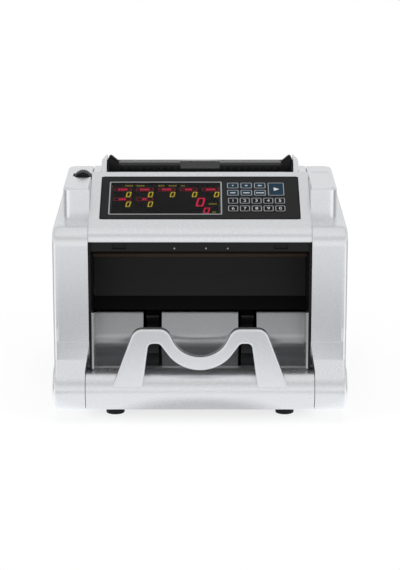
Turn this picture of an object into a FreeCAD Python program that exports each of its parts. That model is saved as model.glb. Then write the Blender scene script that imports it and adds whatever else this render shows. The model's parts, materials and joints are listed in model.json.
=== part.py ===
"""Banknote counting machine: a parametric document, one object per piece.

Millimetres. X runs to the machine's right as its user sees it, Y runs to the back and Z runs up.
The origin is on the table, under the middle of the machine.
"""

import FreeCAD, Part
import math
import os
import re

import Sketcher

doc = FreeCAD.newDocument("banknote_counter")
sheet = doc.addObject("Spreadsheet::Sheet", "dims")

# Driving dimensions: alias, value in millimetres or degrees, meaning.
DIMENSIONS = [
    # Whole machine
    ("width", 280, "across the two end hubs"),
    ("depth", 250, "front of the bar to the back of the housings"),
    ("foot_height", 10, "table to the underside of the casing"),
    ("foot_radius", 9.6, "rubber foot at its top"),
    ("foot_taper", 0.8, "how much narrower the foot is where it stands"),
    ("foot_spread", 164, "between left and right feet"),
    ("foot_front_y", -83.5, "front pair of feet"),
    ("foot_rear_y", 96, "rear pair of feet"),
    ("gap", 0.2, "between fixed neighbours"),
    ("run_gap", 0.3, "between pieces that move past each other"),
    ("slot_room", 1, "openings round rollers, keys and shafts"),
    ("door_room", 2, "openings round bearings"),
    # Side housings
    ("wall", 2.5, "moulded walls"),
    ("opening_width", 210, "between the two housings"),
    ("side_step", 1.5, "hub end out past the pillar's side"),
    ("front_step", 7, "bar's front out past the pillar's face"),
    ("hub_radius", 21, "bar and end hubs"),
    ("hub_inset", 4.2, "hub's inner face out past the pillar's"),
    ("shoulder_height", 190, "top of the pillars"),
    ("pillar_foot", 80, "lower edge of the pillar's face"),
    ("neck_depth", 3.5, "neck set back under the pillar's face"),
    ("neck_angle", 40, "where the neck meets the hub, above its middle"),
    ("neck_ease", 14, "rounded edge starts back above the neck"),
    ("neck_foot", 62, "where the neck starts to flare into the hub"),
    ("front_round", 16, "top front edge of the pillar"),
    ("edge_round", 4, "outer edges of the housings"),
    ("face_inset", 4.5, "raised face in from the outer side"),
    ("face_step", 0.8, "raised face out of the housing"),
    ("face_round", 0.5, "edges of the raised face"),
    ("hub_round", 4.4, "outer edge of the hub"),
    ("slope_top_y", 62, "where the shoulder turns down to the back"),
    ("slope_foot_z", 125, "where the back turns upright"),
    ("back_foot_round", 8, "lower back corner"),
    ("tower_top", 220.5, "top of the towers"),
    ("tower_setback", 40, "tower's front behind the pillar's face"),
    ("tower_depth", 105, "front to back"),
    ("tower_inset", 8.5, "tower's side in from the pillar's side"),
    ("tower_corner", 9, "upright corners of the tower"),
    ("tower_edge", 2.5, "top edges of the tower"),
    ("label_length", 46, "shallow label field on the right tower"),
    ("label_width", 17, "the same, across"),
    ("label_depth", 0.4, "the same, depth"),
    # Control beam and its panel
    ("beam_setback", 3, "fascia behind the pillar's face"),
    ("beam_bottom", 177, "lower edge of the fascia"),
    ("beam_corner", 186.2, "where fascia and slope would meet"),
    ("beam_round", 12, "roll from the slope into the fascia"),
    ("beam_back_y", -16, "back of the beam, front of the hopper"),
    ("slope_angle", 21.3, "control panel above the horizontal"),
    ("panel_width", 190, "black panel"),
    ("panel_length", 72, "the same, up the slope"),
    ("panel_margin", 22.5, "beam's corner to the panel's lower edge"),
    ("panel_sink", 1.2, "panel let into the slope"),
    ("panel_thick", 1.7, "panel sheet"),
    ("panel_corner", 3, "panel's corners"),
    ("window_width", 108, "display window"),
    ("window_length", 56, "the same, up the slope"),
    ("window_left", -87, "window's left edge from the middle"),
    ("window_low", 6.8, "window's lower edge above the panel's"),
    ("window_thick", 1, "smoked window"),
    ("key_width", 10, "digit key"),
    ("key_length", 10, "the same, up the slope"),
    ("key_pitch", 11.2, "digit key to the next"),
    ("key_first_x", 31.5, "first digit key from the middle"),
    ("key_row_1", 16.5, "lower digit row above the panel's edge"),
    ("key_row_2", 29.5, "upper digit row"),
    ("key_row_3", 43.1, "lower function row"),
    ("key_row_4", 55.6, "upper function row"),
    ("function_width", 11.5, "function key"),
    ("function_pitch", 13, "function key to the next"),
    ("start_width", 16, "start key"),
    ("start_length", 22.6, "the same, up the slope"),
    ("start_x", 73, "start key from the middle"),
    ("start_row", 49.4, "start key's centre above the panel's edge"),
    ("key_corner", 1.4, "upright corners of the keys"),
    ("key_proud", 0.4, "keys out of the panel"),
    ("key_flange", 0.4, "flange that holds a key in, each side"),
    ("key_flange_thick", 1, "the same, thickness"),
    ("key_gap", 0.15, "key to its hole, each side"),
    ("key_travel", 0.5, "how far a key goes down"),
    ("key_stem", 3, "stem under the flange"),
    ("key_stem_radius", 2, "the same, radius"),
    ("switch_height", 4, "tactile switch on the display board"),
    ("board_thick", 1.6, "circuit boards"),
    # Front bar, note stop and tray
    ("bar_wall", 3, "hollow front bar"),
    ("bar_gap", 0.6, "bar to each hub"),
    ("stop_thick", 9, "note stop, front to back"),
    ("stop_foot_z", 37, "lower end of its legs"),
    ("stop_top_z", 95, "top of its humps"),
    ("stop_dip_z", 67.7, "top edge in the middle"),
    ("stop_dip_round", 28.5, "curve of the top edge in the middle"),
    ("stop_dip_angle", 64, "steepest part of that curve"),
    ("stop_belly_z", 54.3, "lower edge in the middle"),
    ("stop_belly_round", 38, "curve of the lower edge in the middle"),
    ("stop_belly_angle", 54, "steepest part of that curve"),
    ("stop_band", 14.7, "top of a hump to the arch under it"),
    ("stop_foot_out", 83.5, "outer edge of a leg at its foot"),
    ("stop_foot_in", 54.5, "inner edge of a leg at its foot"),
    ("stop_hump_out", 62, "outer end of a hump"),
    ("stop_hump_round", 11, "corners of the humps"),
    ("stop_arch_out", 48.6, "outer end of the arch under a hump"),
    ("stop_arch_round", 4.6, "corners of the arches"),
    ("stop_edge", 2, "rounding of its edges"),
    ("tray_thick", 2.5, "tray sheet"),
    ("tray_side", 1.8, "tray's side walls"),
    ("tray_floor_z", 25.5, "tray floor"),
    ("tray_lip_z", 43, "front edge of the tray behind the bar"),
    ("tray_front_z", 108, "front end of the side walls' top edge"),
    ("guard_y", -70, "guard over the stacker wheels, frontmost"),
    ("guard_step", 7, "guard out in front of the wall under it"),
    ("guard_lean", 12, "top of the guard behind its front"),
    ("guard_top_z", 93, "top of the guard"),
    ("guard_round", 14, "curves of the guard"),
    # Hopper
    ("hopper_y", 6.2, "front of the hopper plate"),
    ("hopper_low_z", 166, "lower edge of the hopper plate"),
    ("hopper_top_z", 227.6, "top of the hopper plate"),
    ("hopper_width", 183, "between the hopper cheeks"),
    ("hopper_lip", 11, "top of the plate, front to back"),
    ("hump_lip", 1, "front edge of the hump above the plate"),
    ("guide_drop", 1, "corner of a note guide's ear under the plate's top"),
    ("eye_wall", 2.5, "wall of the note guides' eyes"),
    ("tongue_width", 5, "tongue of a note guide"),
    ("cheek_thick", 5.2, "hopper cheeks"),
    ("cheek_bevel", 4.6, "outer edges of the cheeks over the top"),
    ("cheek_rise", 20, "slanted front of the cheeks"),
    ("cheek_run", 15, "slanted front of the cheeks, front to back"),
    ("cheek_fall", 20, "slanted back of the cheeks, front to back"),
    ("cheek_top_z", 233, "top of the cheeks"),
    ("rib_width", 2.4, "ribs of the hopper plate"),
    ("rib_height", 3, "the same, out of the plate"),
    ("rib_drop", 5, "top of the ribs under the plate's top"),
    ("rib_pitch", 7, "rib to rib"),
    ("rib_first_x", 24, "first rib from the middle"),
    ("notch_half", 19.5, "half the finger notch"),
    ("notch_depth", 5.6, "finger notch at the front"),
    ("notch_rise", 5, "finger notch, front to back"),
    ("guide_width", 10.5, "note guide against the plate"),
    ("guide_sheet", 2, "note guide's walls"),
    ("guide_reach", 12.5, "note guide out of the plate"),
    ("guide_low_z", 172, "foot of the note guide"),
    ("guide_travel", 38, "how far a note guide slides in"),
    ("ear_height", 7.5, "flared ear above the note guide"),
    ("ear_slant", 3.6, "slanted outer corner of the ear, across"),
    ("rail_radius", 3, "rod that the note guides slide on"),
    ("rail_y", 24, "the same, behind the plate"),
    ("rail_z", 212, "the same, height"),
    ("tongue_height", 4, "note guide's tongue through the plate"),
    # Rollers and shafts
    ("frame_thick", 2, "steel side frames"),
    ("shaft_radius", 4, "all driven shafts"),
    ("shaft_end", 20, "shaft out past the frame"),
    ("pin_end", 1, "short shaft ends out of the frames"),
    ("bearing_radius", 8, "outer ring"),
    ("bearing_width", 5, "along the shaft"),
    ("bore_gap", 0.05, "running clearance of a shaft"),
    ("pickup_y", 15, "pickup shaft"),
    ("pickup_z", 187, "pickup shaft"),
    ("pickup_radius", 13, "pickup rollers"),
    ("pickup_width", 14, "pickup rollers"),
    ("feed_y", 22, "feed shaft"),
    ("feed_z", 146, "feed shaft"),
    ("feed_radius", 24, "feed rollers"),
    ("feed_width", 18, "feed rollers"),
    ("feed_x", 30, "feed and pickup rollers from the middle"),
    ("retard_radius", 13, "retard rollers"),
    ("nip", 1.5, "feed roller to retard roller"),
    ("retard_axle", 3, "retard axle radius"),
    ("retard_travel", 0.6, "adjustment each way"),
    ("transport_y", 8, "transport shaft"),
    ("transport_z", 106, "transport shaft"),
    ("transport_radius", 16, "transport rollers"),
    ("transport_width", 12, "transport rollers"),
    ("transport_x", 72, "outer transport rollers from the middle"),
    ("pinch_radius", 10.5, "pinch rollers"),
    ("pinch_gap", 0.7, "pinch roller to transport roller"),
    ("pinch_angle", 144, "direction from transport to pinch shaft"),
    ("pinch_axle", 3, "pinch axle radius"),
    ("wheel_y", -40, "stacker shaft"),
    ("wheel_z", 66, "stacker shaft"),
    ("wheel_radius", 36, "stacker wheels over the vanes"),
    ("wheel_hub", 14, "hub of the stacker wheels"),
    ("wheel_width", 12, "stacker wheels"),
    ("wheel_x", 46, "stacker wheels from the middle"),
    ("wheel_slot", 3, "tray slot beside a stacker wheel"),
    ("vane_thick", 1.5, "vanes"),
    ("vane_bend", 26, "radius of a vane's curve"),
    ("motor_y", 70, "drive motor"),
    ("motor_z", 44, "drive motor"),
    ("motor_radius", 21, "drive motor"),
    ("motor_length", 52, "drive motor"),
    ("pulley_width", 9, "belt pulleys"),
    ("pulley_flange", 1, "flanges of the pulleys, each side"),
    ("pulley_lip", 2.2, "flange above the pulley's face"),
    ("motor_pulley", 8, "motor pulley face radius"),
    ("transport_pulley", 12, "transport pulley face radius, both belts"),
    ("wheel_pulley", 18, "stacker pulley face radius"),
    ("feed_pulley", 16, "feed pulley face radius"),
    ("pickup_pulley", 6.5, "pickup pulley face radius"),
    ("belt_thick", 1.4, "drive belts"),
    ("belt_inset", 7, "frame to the belts"),
    # Adjusting wheel
    ("knob_radius", 9.2, "adjusting wheel"),
    ("knob_width", 13, "adjusting wheel, front to back"),
    ("knob_x", -114, "adjusting wheel"),
    ("knob_y", -17, "middle of the adjusting wheel"),
    ("knob_sink", 5, "its axis under the tower's top"),
    ("knob_groove", 0.7, "depth of its grip grooves"),
    ("scoop_radius", 8, "finger scoop in front of the adjusting wheel"),
    ("scoop_depth", 1.2, "the same, depth"),
    ("spindle_radius", 2, "its spindle"),
    ("spindle_end", 18, "spindle behind the adjusting wheel"),
    ("nut_gap", 5, "half nut behind the wheel"),
    ("link_clear", 3, "link under the wheel"),
    ("link_thick", 4, "link from the spindle to the retard axle"),
    ("link_half", 4, "half the link's width"),
    # Base, hood and back
    ("base_front_y", -91.5, "front edge of the base pan"),
    ("base_rim", 9, "upstand around the base pan"),
    ("frame_front_y", -116, "front edge of the side frames above the bar"),
    ("frame_top_z", 203, "side frames beside the hopper"),
    ("tie_radius", 4, "tie bars between the side frames"),
    ("tie_in", 6, "rear tie behind the edge of the slope"),
    ("tie_drop", 34, "lower rear tie under the slope"),
    ("hood_front_y", 29, "front edge of the hood's ledge"),
    ("hood_step", 1.5, "hood below the shoulder"),
    ("hump_y", 42, "hood's crest behind the hopper"),
    ("hump_z", 222, "hood's crest behind the hopper"),
    ("cheek_front_y", -13, "front edge of the hopper cheeks"),
    ("cheek_low_z", 178, "lower edge of the hopper cheeks"),
    ("vent_width", 2.5, "vent slots of the rear panel"),
    ("vent_height", 34, "vent slots of the rear panel"),
    ("vent_pitch", 6, "vent slots of the rear panel"),
    ("back_y", 120, "outside of the rear panel"),
    ("back_top_z", 121, "joint between rear panel and hood"),
    ("module_x", 62, "power module from the middle"),
    ("module_z", 44, "power module"),
    ("module_width", 58, "power module flange"),
    ("module_height", 31, "power module flange"),
    ("module_deep", 24, "power module behind the panel"),
    ("rocker_width", 13, "power rocker"),
    ("rocker_height", 18, "power rocker"),
    ("rocker_proud", 2.5, "rocker's ends out of the flange"),
    ("rocker_tilt", 10, "rocker either way"),
    ("socket_width", 25, "inlet socket"),
    ("socket_height", 17, "inlet socket"),
    ("socket_depth", 17, "inlet socket"),
    ("pin_radius", 1.2, "contact pins of the inlet"),
    ("pin_pitch", 7, "contact pins of the inlet"),
    ("board_lift", 9, "main board above the base pan"),
    ("coil_side", 40, "transformer"),
    ("chip_width", 14, "chips of the main board"),
    ("chip_length", 9, "chips of the main board"),
    ("chip_pitch", 18, "chips of the main board"),
    ("sheet", 2, "bent guide sheets"),
    ("path_gap", 1.5, "guide sheets off rollers and wheels"),
    ("chute_top", 9, "upper edge of the rear chute under the transport shaft"),
    ("chute_bend", 22, "bend of the rear chute under the transport shaft"),
    ("chute_foot", 10, "lower edge of the rear chute above the wheels"),
    ("cover_low_y", -63, "lower edge of the black cover"),
    ("cover_low_z", 97, "lower edge of the black cover"),
    ("cover_bend_z", 108, "where the cover bends forward"),
    ("cover_mid_z", 128, "where the cover turns upright"),
    ("cover_back_y", -46, "rearmost part of the cover"),
    ("cover_front_y", -97, "upper edge of the cover under the beam"),
    ("lamp_deep", 12, "lamp rail, front to back"),
    ("lamp_high", 9, "lamp rail"),
    ("lamp_setback", 1, "lamp rail behind the fascia"),
    ("lens_x", 76, "lens fields of the lamp rail from the middle"),
    ("lens_width", 13, "lens fields of the lamp rail"),
    ("wire_bar_radius", 2.7, "antistatic bar"),
    ("wire_bar_y", -62, "antistatic bar"),
    ("wire_bar_z", 152, "antistatic bar"),
    ("sensor_in", 50, "inner end of the note sensors"),
    ("sensor_deep", 11, "note sensors, front to back"),
    ("sensor_high", 8, "note sensors"),
]


def put_dimensions():
    for row, (alias, value, words) in enumerate(DIMENSIONS, start=1):
        sheet.set(f"A{row}", words)
        sheet.set(f"B{row}", str(value))
        sheet.setAlias(f"B{row}", alias)
    doc.recompute()


put_dimensions()

ALIAS = re.compile(r"\b(" + "|".join(alias for alias, _, _ in DIMENSIONS) + r")\b")

# Tolerances of the source itself, in mm and cubic mm.
SAME_PLACE = 1e-4
LEAST_CUT = 1e-6

# Places that several pieces share, as expressions of the sheet.
FRONT = "(-depth / 2)"
PILLAR = "(-depth / 2 + front_step)"
BACK = "(depth / 2)"
INNER = "(opening_width / 2)"
OUTER = "(width / 2 - side_step)"
HUB_Y = "(-depth / 2 + hub_radius)"
HUB_Z = "(foot_height + hub_radius)"
FASCIA = "(-depth / 2 + front_step + beam_setback)"
SLOPE = "(slope_angle * 1 deg)"
FRAME_OUT = f"({INNER} - gap)"
BAR_BACK = f"({HUB_Y} + hub_radius + bar_gap)"
BAR_TOP = f"({HUB_Z} + hub_radius + bar_gap)"
FRAME_IN = f"({FRAME_OUT} - frame_thick)"
PAN_TOP = "(foot_height + wall)"
TOWER_FRONT = f"({PILLAR} + tower_setback)"
RETARD_Y = "(feed_y - feed_radius - nip - retard_radius)"
PINCH_REACH = "(transport_radius + pinch_radius + pinch_gap)"
PINCH_Y = f"(transport_y + {PINCH_REACH} * cos(pinch_angle * 1 deg))"
PINCH_Z = f"(transport_z + {PINCH_REACH} * sin(pinch_angle * 1 deg))"
KNOB_Z = "(tower_top - knob_sink)"
BELT_X = "(opening_width / 2 + belt_inset)"
CHEEK = "(hopper_width / 2)"


def cells(text):
    """An expression with the sheet's name before each alias."""
    return ALIAS.sub(r"dims.\1", str(text))


def value(text):
    """What an expression of the sheet comes to now."""
    return float(sheet.evalExpression(cells(text)))


def bind(thing, **expressions):
    """Ties properties to the sheet; a double underscore stands for a dot."""
    for name, text in expressions.items():
        thing.setExpression(name.replace("__", "."), cells(text))


def new_body(label):
    body = doc.addObject("PartDesign::Body", label)
    body.Label = label
    return body


def new_sketch(body, role, offset="0"):
    """A sketch on one of the body's own planes, moved along that plane's normal."""
    sketch = body.newObject("Sketcher::SketchObject", body.Name + "_sketch")
    plane = next(f for f in body.Origin.OriginFeatures if f.Role == role)
    sketch.AttachmentSupport = [(plane, "")]
    sketch.MapMode = "FlatFace"
    bind(sketch, AttachmentOffset__Base__z=offset)
    return sketch


def pin_point(sketch, geometry, place, x, y):
    """Holds one point of a sketch at expressions of the sheet."""
    for kind, text in (("DistanceX", x), ("DistanceY", y)):
        rule = Sketcher.Constraint(kind, -1, 1, geometry, place, value(text))
        index = sketch.addConstraint(rule)
        sketch.setExpression(f"Constraints[{index}]", cells(text))


def draw_outline(sketch, points):
    """A closed outline of straight lines through the points."""
    flat = [FreeCAD.Vector(value(x), value(y), 0) for x, y in points]
    count = len(flat)
    first = sketch.GeometryCount
    for i in range(count):
        sketch.addGeometry(Part.LineSegment(flat[i], flat[(i + 1) % count]), False)
    for i in range(count):
        joined = first + (i + 1) % count
        sketch.addConstraint(Sketcher.Constraint("Coincident", first + i, 2, joined, 1))
    for i, (x, y) in enumerate(points):
        pin_point(sketch, first + i, 1, x, y)
    return sketch


def draw_box(sketch, x0, y0, x1, y1):
    return draw_outline(sketch, [(x0, y0), (x1, y0), (x1, y1), (x0, y1)])


def draw_circle(sketch, x, y, radius):
    centre = FreeCAD.Vector(value(x), value(y), 0)
    circle = Part.Circle(centre, FreeCAD.Vector(0, 0, 1), value(radius))
    index = sketch.addGeometry(circle, False)
    pin_point(sketch, index, 3, x, y)
    rule = sketch.addConstraint(Sketcher.Constraint("Radius", index, value(radius)))
    sketch.setExpression(f"Constraints[{rule}]", cells(radius))
    return sketch


def pad(body, sketch, length, symmetric=False, reverse=False):
    feature = body.newObject("PartDesign::Pad", body.Name + "_pad")
    feature.Profile = sketch
    feature.SideType = "Symmetric" if symmetric else "One side"
    feature.Reversed = reverse
    bind(feature, Length=length)
    doc.recompute()
    return feature


def pocket(body, sketch, length, symmetric=False, reverse=False):
    """Cuts a sketch out of the body and stops if nothing was cut."""
    before = body.Shape.Volume
    feature = body.newObject("PartDesign::Pocket", body.Name + "_pocket")
    feature.Profile = sketch
    feature.SideType = "Symmetric" if symmetric else "One side"
    feature.Reversed = reverse
    bind(feature, Length=length)
    doc.recompute()
    if not body.Shape.Volume < before - LEAST_CUT:
        raise RuntimeError(f"a pocket of {body.Label} cut nothing")
    return feature


def round_edges(body, radius, test):
    """Fillets every edge of the body for which test(edge) is true."""
    base = body.Tip
    names = [f"Edge{i}" for i, edge in enumerate(base.Shape.Edges, 1) if test(edge)]
    if not names:
        raise RuntimeError(f"no edge to round on {body.Label}")
    feature = body.newObject("PartDesign::Fillet", body.Name + "_fillet")
    feature.Base = (base, names)
    bind(feature, Radius=radius)
    doc.recompute()
    return feature


def bevel_edges(body, size, test):
    """Chamfers every edge of the body for which test(edge) is true."""
    base = body.Tip
    names = [f"Edge{i}" for i, edge in enumerate(base.Shape.Edges, 1) if test(edge)]
    if not names:
        raise RuntimeError(f"no edge to bevel on {body.Label}")
    feature = body.newObject("PartDesign::Chamfer", body.Name + "_chamfer")
    feature.Base = (base, names)
    bind(feature, Size=size)
    doc.recompute()
    return feature


def close_to(a, b):
    return abs(a - b) < SAME_PLACE


def runs_along(edge, axis):
    """True for a straight edge along X, Y or Z (0, 1 or 2)."""
    if len(edge.Vertexes) != 2 or not isinstance(edge.Curve, (Part.Line, Part.LineSegment)):
        return False
    a, b = (v.Point for v in edge.Vertexes)
    return all(close_to(a[k], b[k]) for k in range(3) if k != axis)


def passes(edge, axis, *places):
    """True if a straight edge along axis goes through one of the places, in the other two coordinates."""
    if not runs_along(edge, axis):
        return False
    rest = [k for k in range(3) if k != axis]
    point = edge.Vertexes[0].Point
    return any(
        close_to(point[rest[0]], value(u)) and close_to(point[rest[1]], value(v)) for u, v in places
    )


def lies_at(edge, axis, place):
    """True if the whole edge lies in the plane where that coordinate is place."""
    box = edge.BoundBox
    low, high = ((box.XMin, box.XMax), (box.YMin, box.YMax), (box.ZMin, box.ZMax))[axis]
    return close_to(low, value(place)) and close_to(high, value(place))


def cylinder_x(name, x0, x1, y, z, radius):
    """A primitive round bar along X from x0 to x1."""
    bar = doc.addObject("Part::Cylinder", name)
    turn = FreeCAD.Rotation(FreeCAD.Vector(0, 1, 0), 90)
    bar.Placement = FreeCAD.Placement(FreeCAD.Vector(), turn)
    bind(bar, Radius=radius, Height=f"({x1}) - ({x0})")
    bind(bar, Placement__Base__x=x0, Placement__Base__y=y, Placement__Base__z=z)
    return bar


def block(name, x0, x1, y0, y1, z0, z1):
    """A primitive box between two corners."""
    box = doc.addObject("Part::Box", name)
    bind(box, Length=f"({x1}) - ({x0})", Width=f"({y1}) - ({y0})", Height=f"({z1}) - ({z0})")
    bind(box, Placement__Base__x=x0, Placement__Base__y=y0, Placement__Base__z=z0)
    return box


def cut(name, base, tool):
    result = doc.addObject("Part::Cut", name)
    result.Base, result.Tool = base, tool
    return result


def fuse(name, *pieces):
    result = doc.addObject("Part::MultiFuse", name)
    result.Shapes = list(pieces)
    result.Refine = True
    return result


def ring_x(name, x0, x1, y, z, outer, inner):
    """A round sleeve along X."""
    body = cylinder_x(name + "_outer", x0, x1, y, z, outer)
    bore = cylinder_x(name + "_bore", f"({x0}) - wall", f"({x1}) + wall", y, z, inner)
    return cut(name, body, bore)


def group(label, pieces):
    """Several separate solids that share one node."""
    result = doc.addObject("Part::Compound", label)
    result.Label = label
    result.Links = pieces
    return result


def named(thing, label):
    thing.Label = label
    return thing


def fixed_shape(label, shape):
    feature = doc.addObject("Part::Feature", label)
    feature.Label = label
    feature.Shape = shape
    return feature


nodes = []


def keep(thing):
    """Adds a finished piece to the list that is written out."""
    nodes.append(thing)
    return thing


# Side housings: a hollow moulding with pillar, hub, shoulder and tower

HOUSING_OUTLINE = [
    (HUB_Y, "foot_height"),
    (BACK, "foot_height"),
    (BACK, "slope_foot_z"),
    ("slope_top_y", "shoulder_height - face_step"),
    (f"{PILLAR} + face_step", "shoulder_height - face_step"),
    (f"{PILLAR} + face_step", "pillar_foot + neck_ease"),
    (f"{PILLAR} + neck_depth", "pillar_foot"),
    (f"{PILLAR} + neck_depth", "neck_foot"),
    (
        f"{HUB_Y} - hub_radius * cos(neck_angle * 1 deg)",
        f"{HUB_Z} + hub_radius * sin(neck_angle * 1 deg)",
    ),
]
FACE_OUTLINE = [
    (PILLAR, "pillar_foot"),
    (PILLAR, "shoulder_height"),
    ("slope_top_y - 2 * edge_round", "shoulder_height"),
    ("slope_top_y - 2 * edge_round", "shoulder_height - 2 * wall"),
    (f"{PILLAR} + front_round", "shoulder_height - 2 * wall"),
    (f"{PILLAR} + neck_depth + wall", "shoulder_height - front_round"),
    (f"{PILLAR} + neck_depth + wall", "pillar_foot"),
]
FACE_EDGE = f"({OUTER} - face_inset)"
CEILING = "(shoulder_height - wall - face_step)"


def rims_face(edge, side):
    """True for the outer, lower and inner edges of a housing's raised face."""
    if passes(edge, 0, (PILLAR, "pillar_foot")) or passes(edge, 2, (f"{side} * {INNER}", PILLAR)):
        return True
    if not lies_at(edge, 0, f"{side} * {FACE_EDGE}"):
        return False
    box = edge.BoundBox
    on_front = close_to(box.YMax, value(PILLAR))
    on_top = close_to(box.ZMin, value("shoulder_height"))
    return on_front or on_top or close_to(getattr(edge.Curve, "Radius", 0), value("front_round"))


def make_housing(side, label):
    """side is -1 for the left housing and 1 for the right one."""
    body = new_body(label)
    away = side < 0

    skin = draw_outline(new_sketch(body, "YZ_Plane", f"{side} * {INNER}"), HOUSING_OUTLINE)
    pad(body, skin, f"{OUTER} - {INNER}", reverse=away)
    low_top = "shoulder_height - face_step"
    round_edges(
        body, "front_round - face_step", lambda e: passes(e, 0, (f"{PILLAR} + face_step", low_top))
    )
    round_edges(
        body,
        "back_foot_round",
        lambda e: passes(e, 0, (BACK, "foot_height"), (BACK, "slope_foot_z"), ("slope_top_y", low_top)),
    )
    round_edges(body, "edge_round", lambda e: lies_at(e, 0, f"{side} * {OUTER}"))

    face = draw_outline(new_sketch(body, "YZ_Plane", f"{side} * {INNER}"), FACE_OUTLINE)
    pad(body, face, f"{FACE_EDGE} - {INNER}", reverse=away)
    round_edges(body, "front_round", lambda e: passes(e, 0, (PILLAR, "shoulder_height")))
    round_edges(body, "face_round", lambda e: rims_face(e, side))

    hub_inner = f"({INNER} + hub_inset)"
    hub = draw_circle(new_sketch(body, "YZ_Plane", f"{side} * {hub_inner}"), HUB_Y, HUB_Z, "hub_radius")
    pad(body, hub, f"width / 2 - {hub_inner}", reverse=away)
    round_edges(body, "hub_round", lambda e: lies_at(e, 0, f"{side} * width / 2"))
    flare = new_sketch(body, "XZ_Plane", f"-{FRONT}")
    draw_outline(
        flare,
        [
            (f"{side} * ({INNER} - wall)", "foot_height - wall"),
            (f"{side} * {hub_inner}", "foot_height - wall"),
            (f"{side} * {hub_inner}", f"{HUB_Z} + hub_radius"),
            (f"{side} * {INNER}", "pillar_foot - wall"),
            (f"{side} * ({INNER} - wall)", "pillar_foot - wall"),
        ],
    )
    pocket(body, flare, "2 * hub_radius + gap")
    cup = draw_circle(
        new_sketch(body, "YZ_Plane", f"{side} * {hub_inner}"), HUB_Y, HUB_Z, "hub_radius - wall"
    )
    pocket(body, cup, f"width / 2 - {hub_inner} - 2 * wall", reverse=not away)

    tower_side = f"{side} * ({OUTER} - tower_inset)"
    tower_back = f"{TOWER_FRONT} + tower_depth"
    tower = new_sketch(body, "XY_Plane", "shoulder_height - wall")
    draw_box(tower, f"{side} * {INNER}", TOWER_FRONT, tower_side, tower_back)
    pad(body, tower, "tower_top - shoulder_height + wall")
    round_edges(
        body, "tower_corner", lambda e: passes(e, 2, (tower_side, TOWER_FRONT), (tower_side, tower_back))
    )
    round_edges(body, "tower_edge", lambda e: lies_at(e, 2, "tower_top"))

    hub_rear = f"{HUB_Y} + hub_radius + wall"
    inside = new_sketch(body, "YZ_Plane", f"{side} * ({INNER} + wall)")
    draw_outline(
        inside,
        [
            (hub_rear, "foot_height + wall"),
            (f"{BACK} - wall - edge_round", "foot_height + wall"),
            (f"{BACK} - wall - edge_round", "slope_foot_z - wall"),
            ("slope_top_y - wall", CEILING),
            (f"{PILLAR} + front_round / 2 + wall", CEILING),
            (f"{PILLAR} + neck_depth + wall", "shoulder_height - front_round - wall"),
            (f"{PILLAR} + neck_depth + wall", "pillar_foot"),
            (hub_rear, "pillar_foot"),
        ],
    )
    pocket(body, inside, f"{OUTER} - {INNER} - 2 * wall", reverse=not away)

    doorway = new_sketch(body, "YZ_Plane", f"{side} * {INNER}")
    draw_outline(
        doorway,
        [
            (hub_rear, "foot_height + wall"),
            (f"{BACK} - wall - edge_round", "foot_height + wall"),
            (f"{BACK} - wall - edge_round", "slope_foot_z - wall"),
            ("slope_top_y - wall", CEILING),
            (hub_rear, CEILING),
        ],
    )
    pocket(body, doorway, "wall", reverse=not away)

    shaft_door = new_sketch(body, "YZ_Plane", f"{side} * {INNER}")
    draw_box(
        shaft_door,
        "pickup_y - bearing_radius - door_room",
        "pickup_z - 3 * bearing_radius",
        "pickup_y + bearing_radius",
        "pickup_z + bearing_radius + door_room",
    )
    pocket(body, shaft_door, "wall", reverse=not away)

    hollow = new_sketch(body, "XY_Plane", "tower_top - wall")
    draw_box(
        hollow,
        f"{side} * ({INNER} + wall)",
        f"{TOWER_FRONT} + wall",
        f"{side} * ({OUTER} - tower_inset - wall)",
        f"{tower_back} - wall",
    )
    pocket(body, hollow, "tower_top - shoulder_height + 2 * edge_round")
    return body


def make_left_housing():
    body = make_housing(-1, "left_housing")
    slot = new_sketch(body, "XY_Plane", "tower_top")
    draw_box(
        slot,
        "knob_x - knob_radius - run_gap",
        "knob_y - knob_width / 2 - run_gap",
        "knob_x + knob_radius + run_gap",
        "knob_y + knob_width / 2 + run_gap",
    )
    pocket(body, slot, "knob_sink + knob_radius + run_gap")
    scoop = new_sketch(body, "XY_Plane", "tower_top")
    draw_circle(scoop, "knob_x", "knob_y - knob_width / 2", "scoop_radius")
    pocket(body, scoop, "scoop_depth")
    return body


def make_right_housing():
    body = make_housing(1, "right_housing")
    middle_x = f"(({INNER} + {OUTER} - tower_inset) / 2)"
    middle_y = f"({TOWER_FRONT} + tower_depth / 2)"
    field = new_sketch(body, "XY_Plane", "tower_top")
    draw_box(
        field,
        f"{middle_x} - label_width / 2",
        f"{middle_y} - label_length / 2",
        f"{middle_x} + label_width / 2",
        f"{middle_y} + label_length / 2",
    )
    pocket(body, field, "label_depth")
    return body


keep(make_left_housing())
keep(make_right_housing())

# Control beam: a shell, open below, with the panel let into its slope

PANEL_Y = f"({FASCIA} + panel_margin * cos({SLOPE}))"
PANEL_Z = f"(beam_corner + panel_margin * sin({SLOPE}))"
PANEL_TOP = "(panel_thick - panel_sink)"
FLANGE_TOP = "(-panel_sink - run_gap)"
STEM_TOP = f"({FLANGE_TOP} - key_flange_thick)"
SWITCH_TOP = f"({STEM_TOP} - key_stem - key_travel - run_gap)"
BOARD_TOP = f"({SWITCH_TOP} - switch_height)"


def slope_at(y):
    """Height of the beam's slope over a place front to back."""
    return f"(beam_corner + (({y}) - {FASCIA}) * tan({SLOPE}))"


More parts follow.
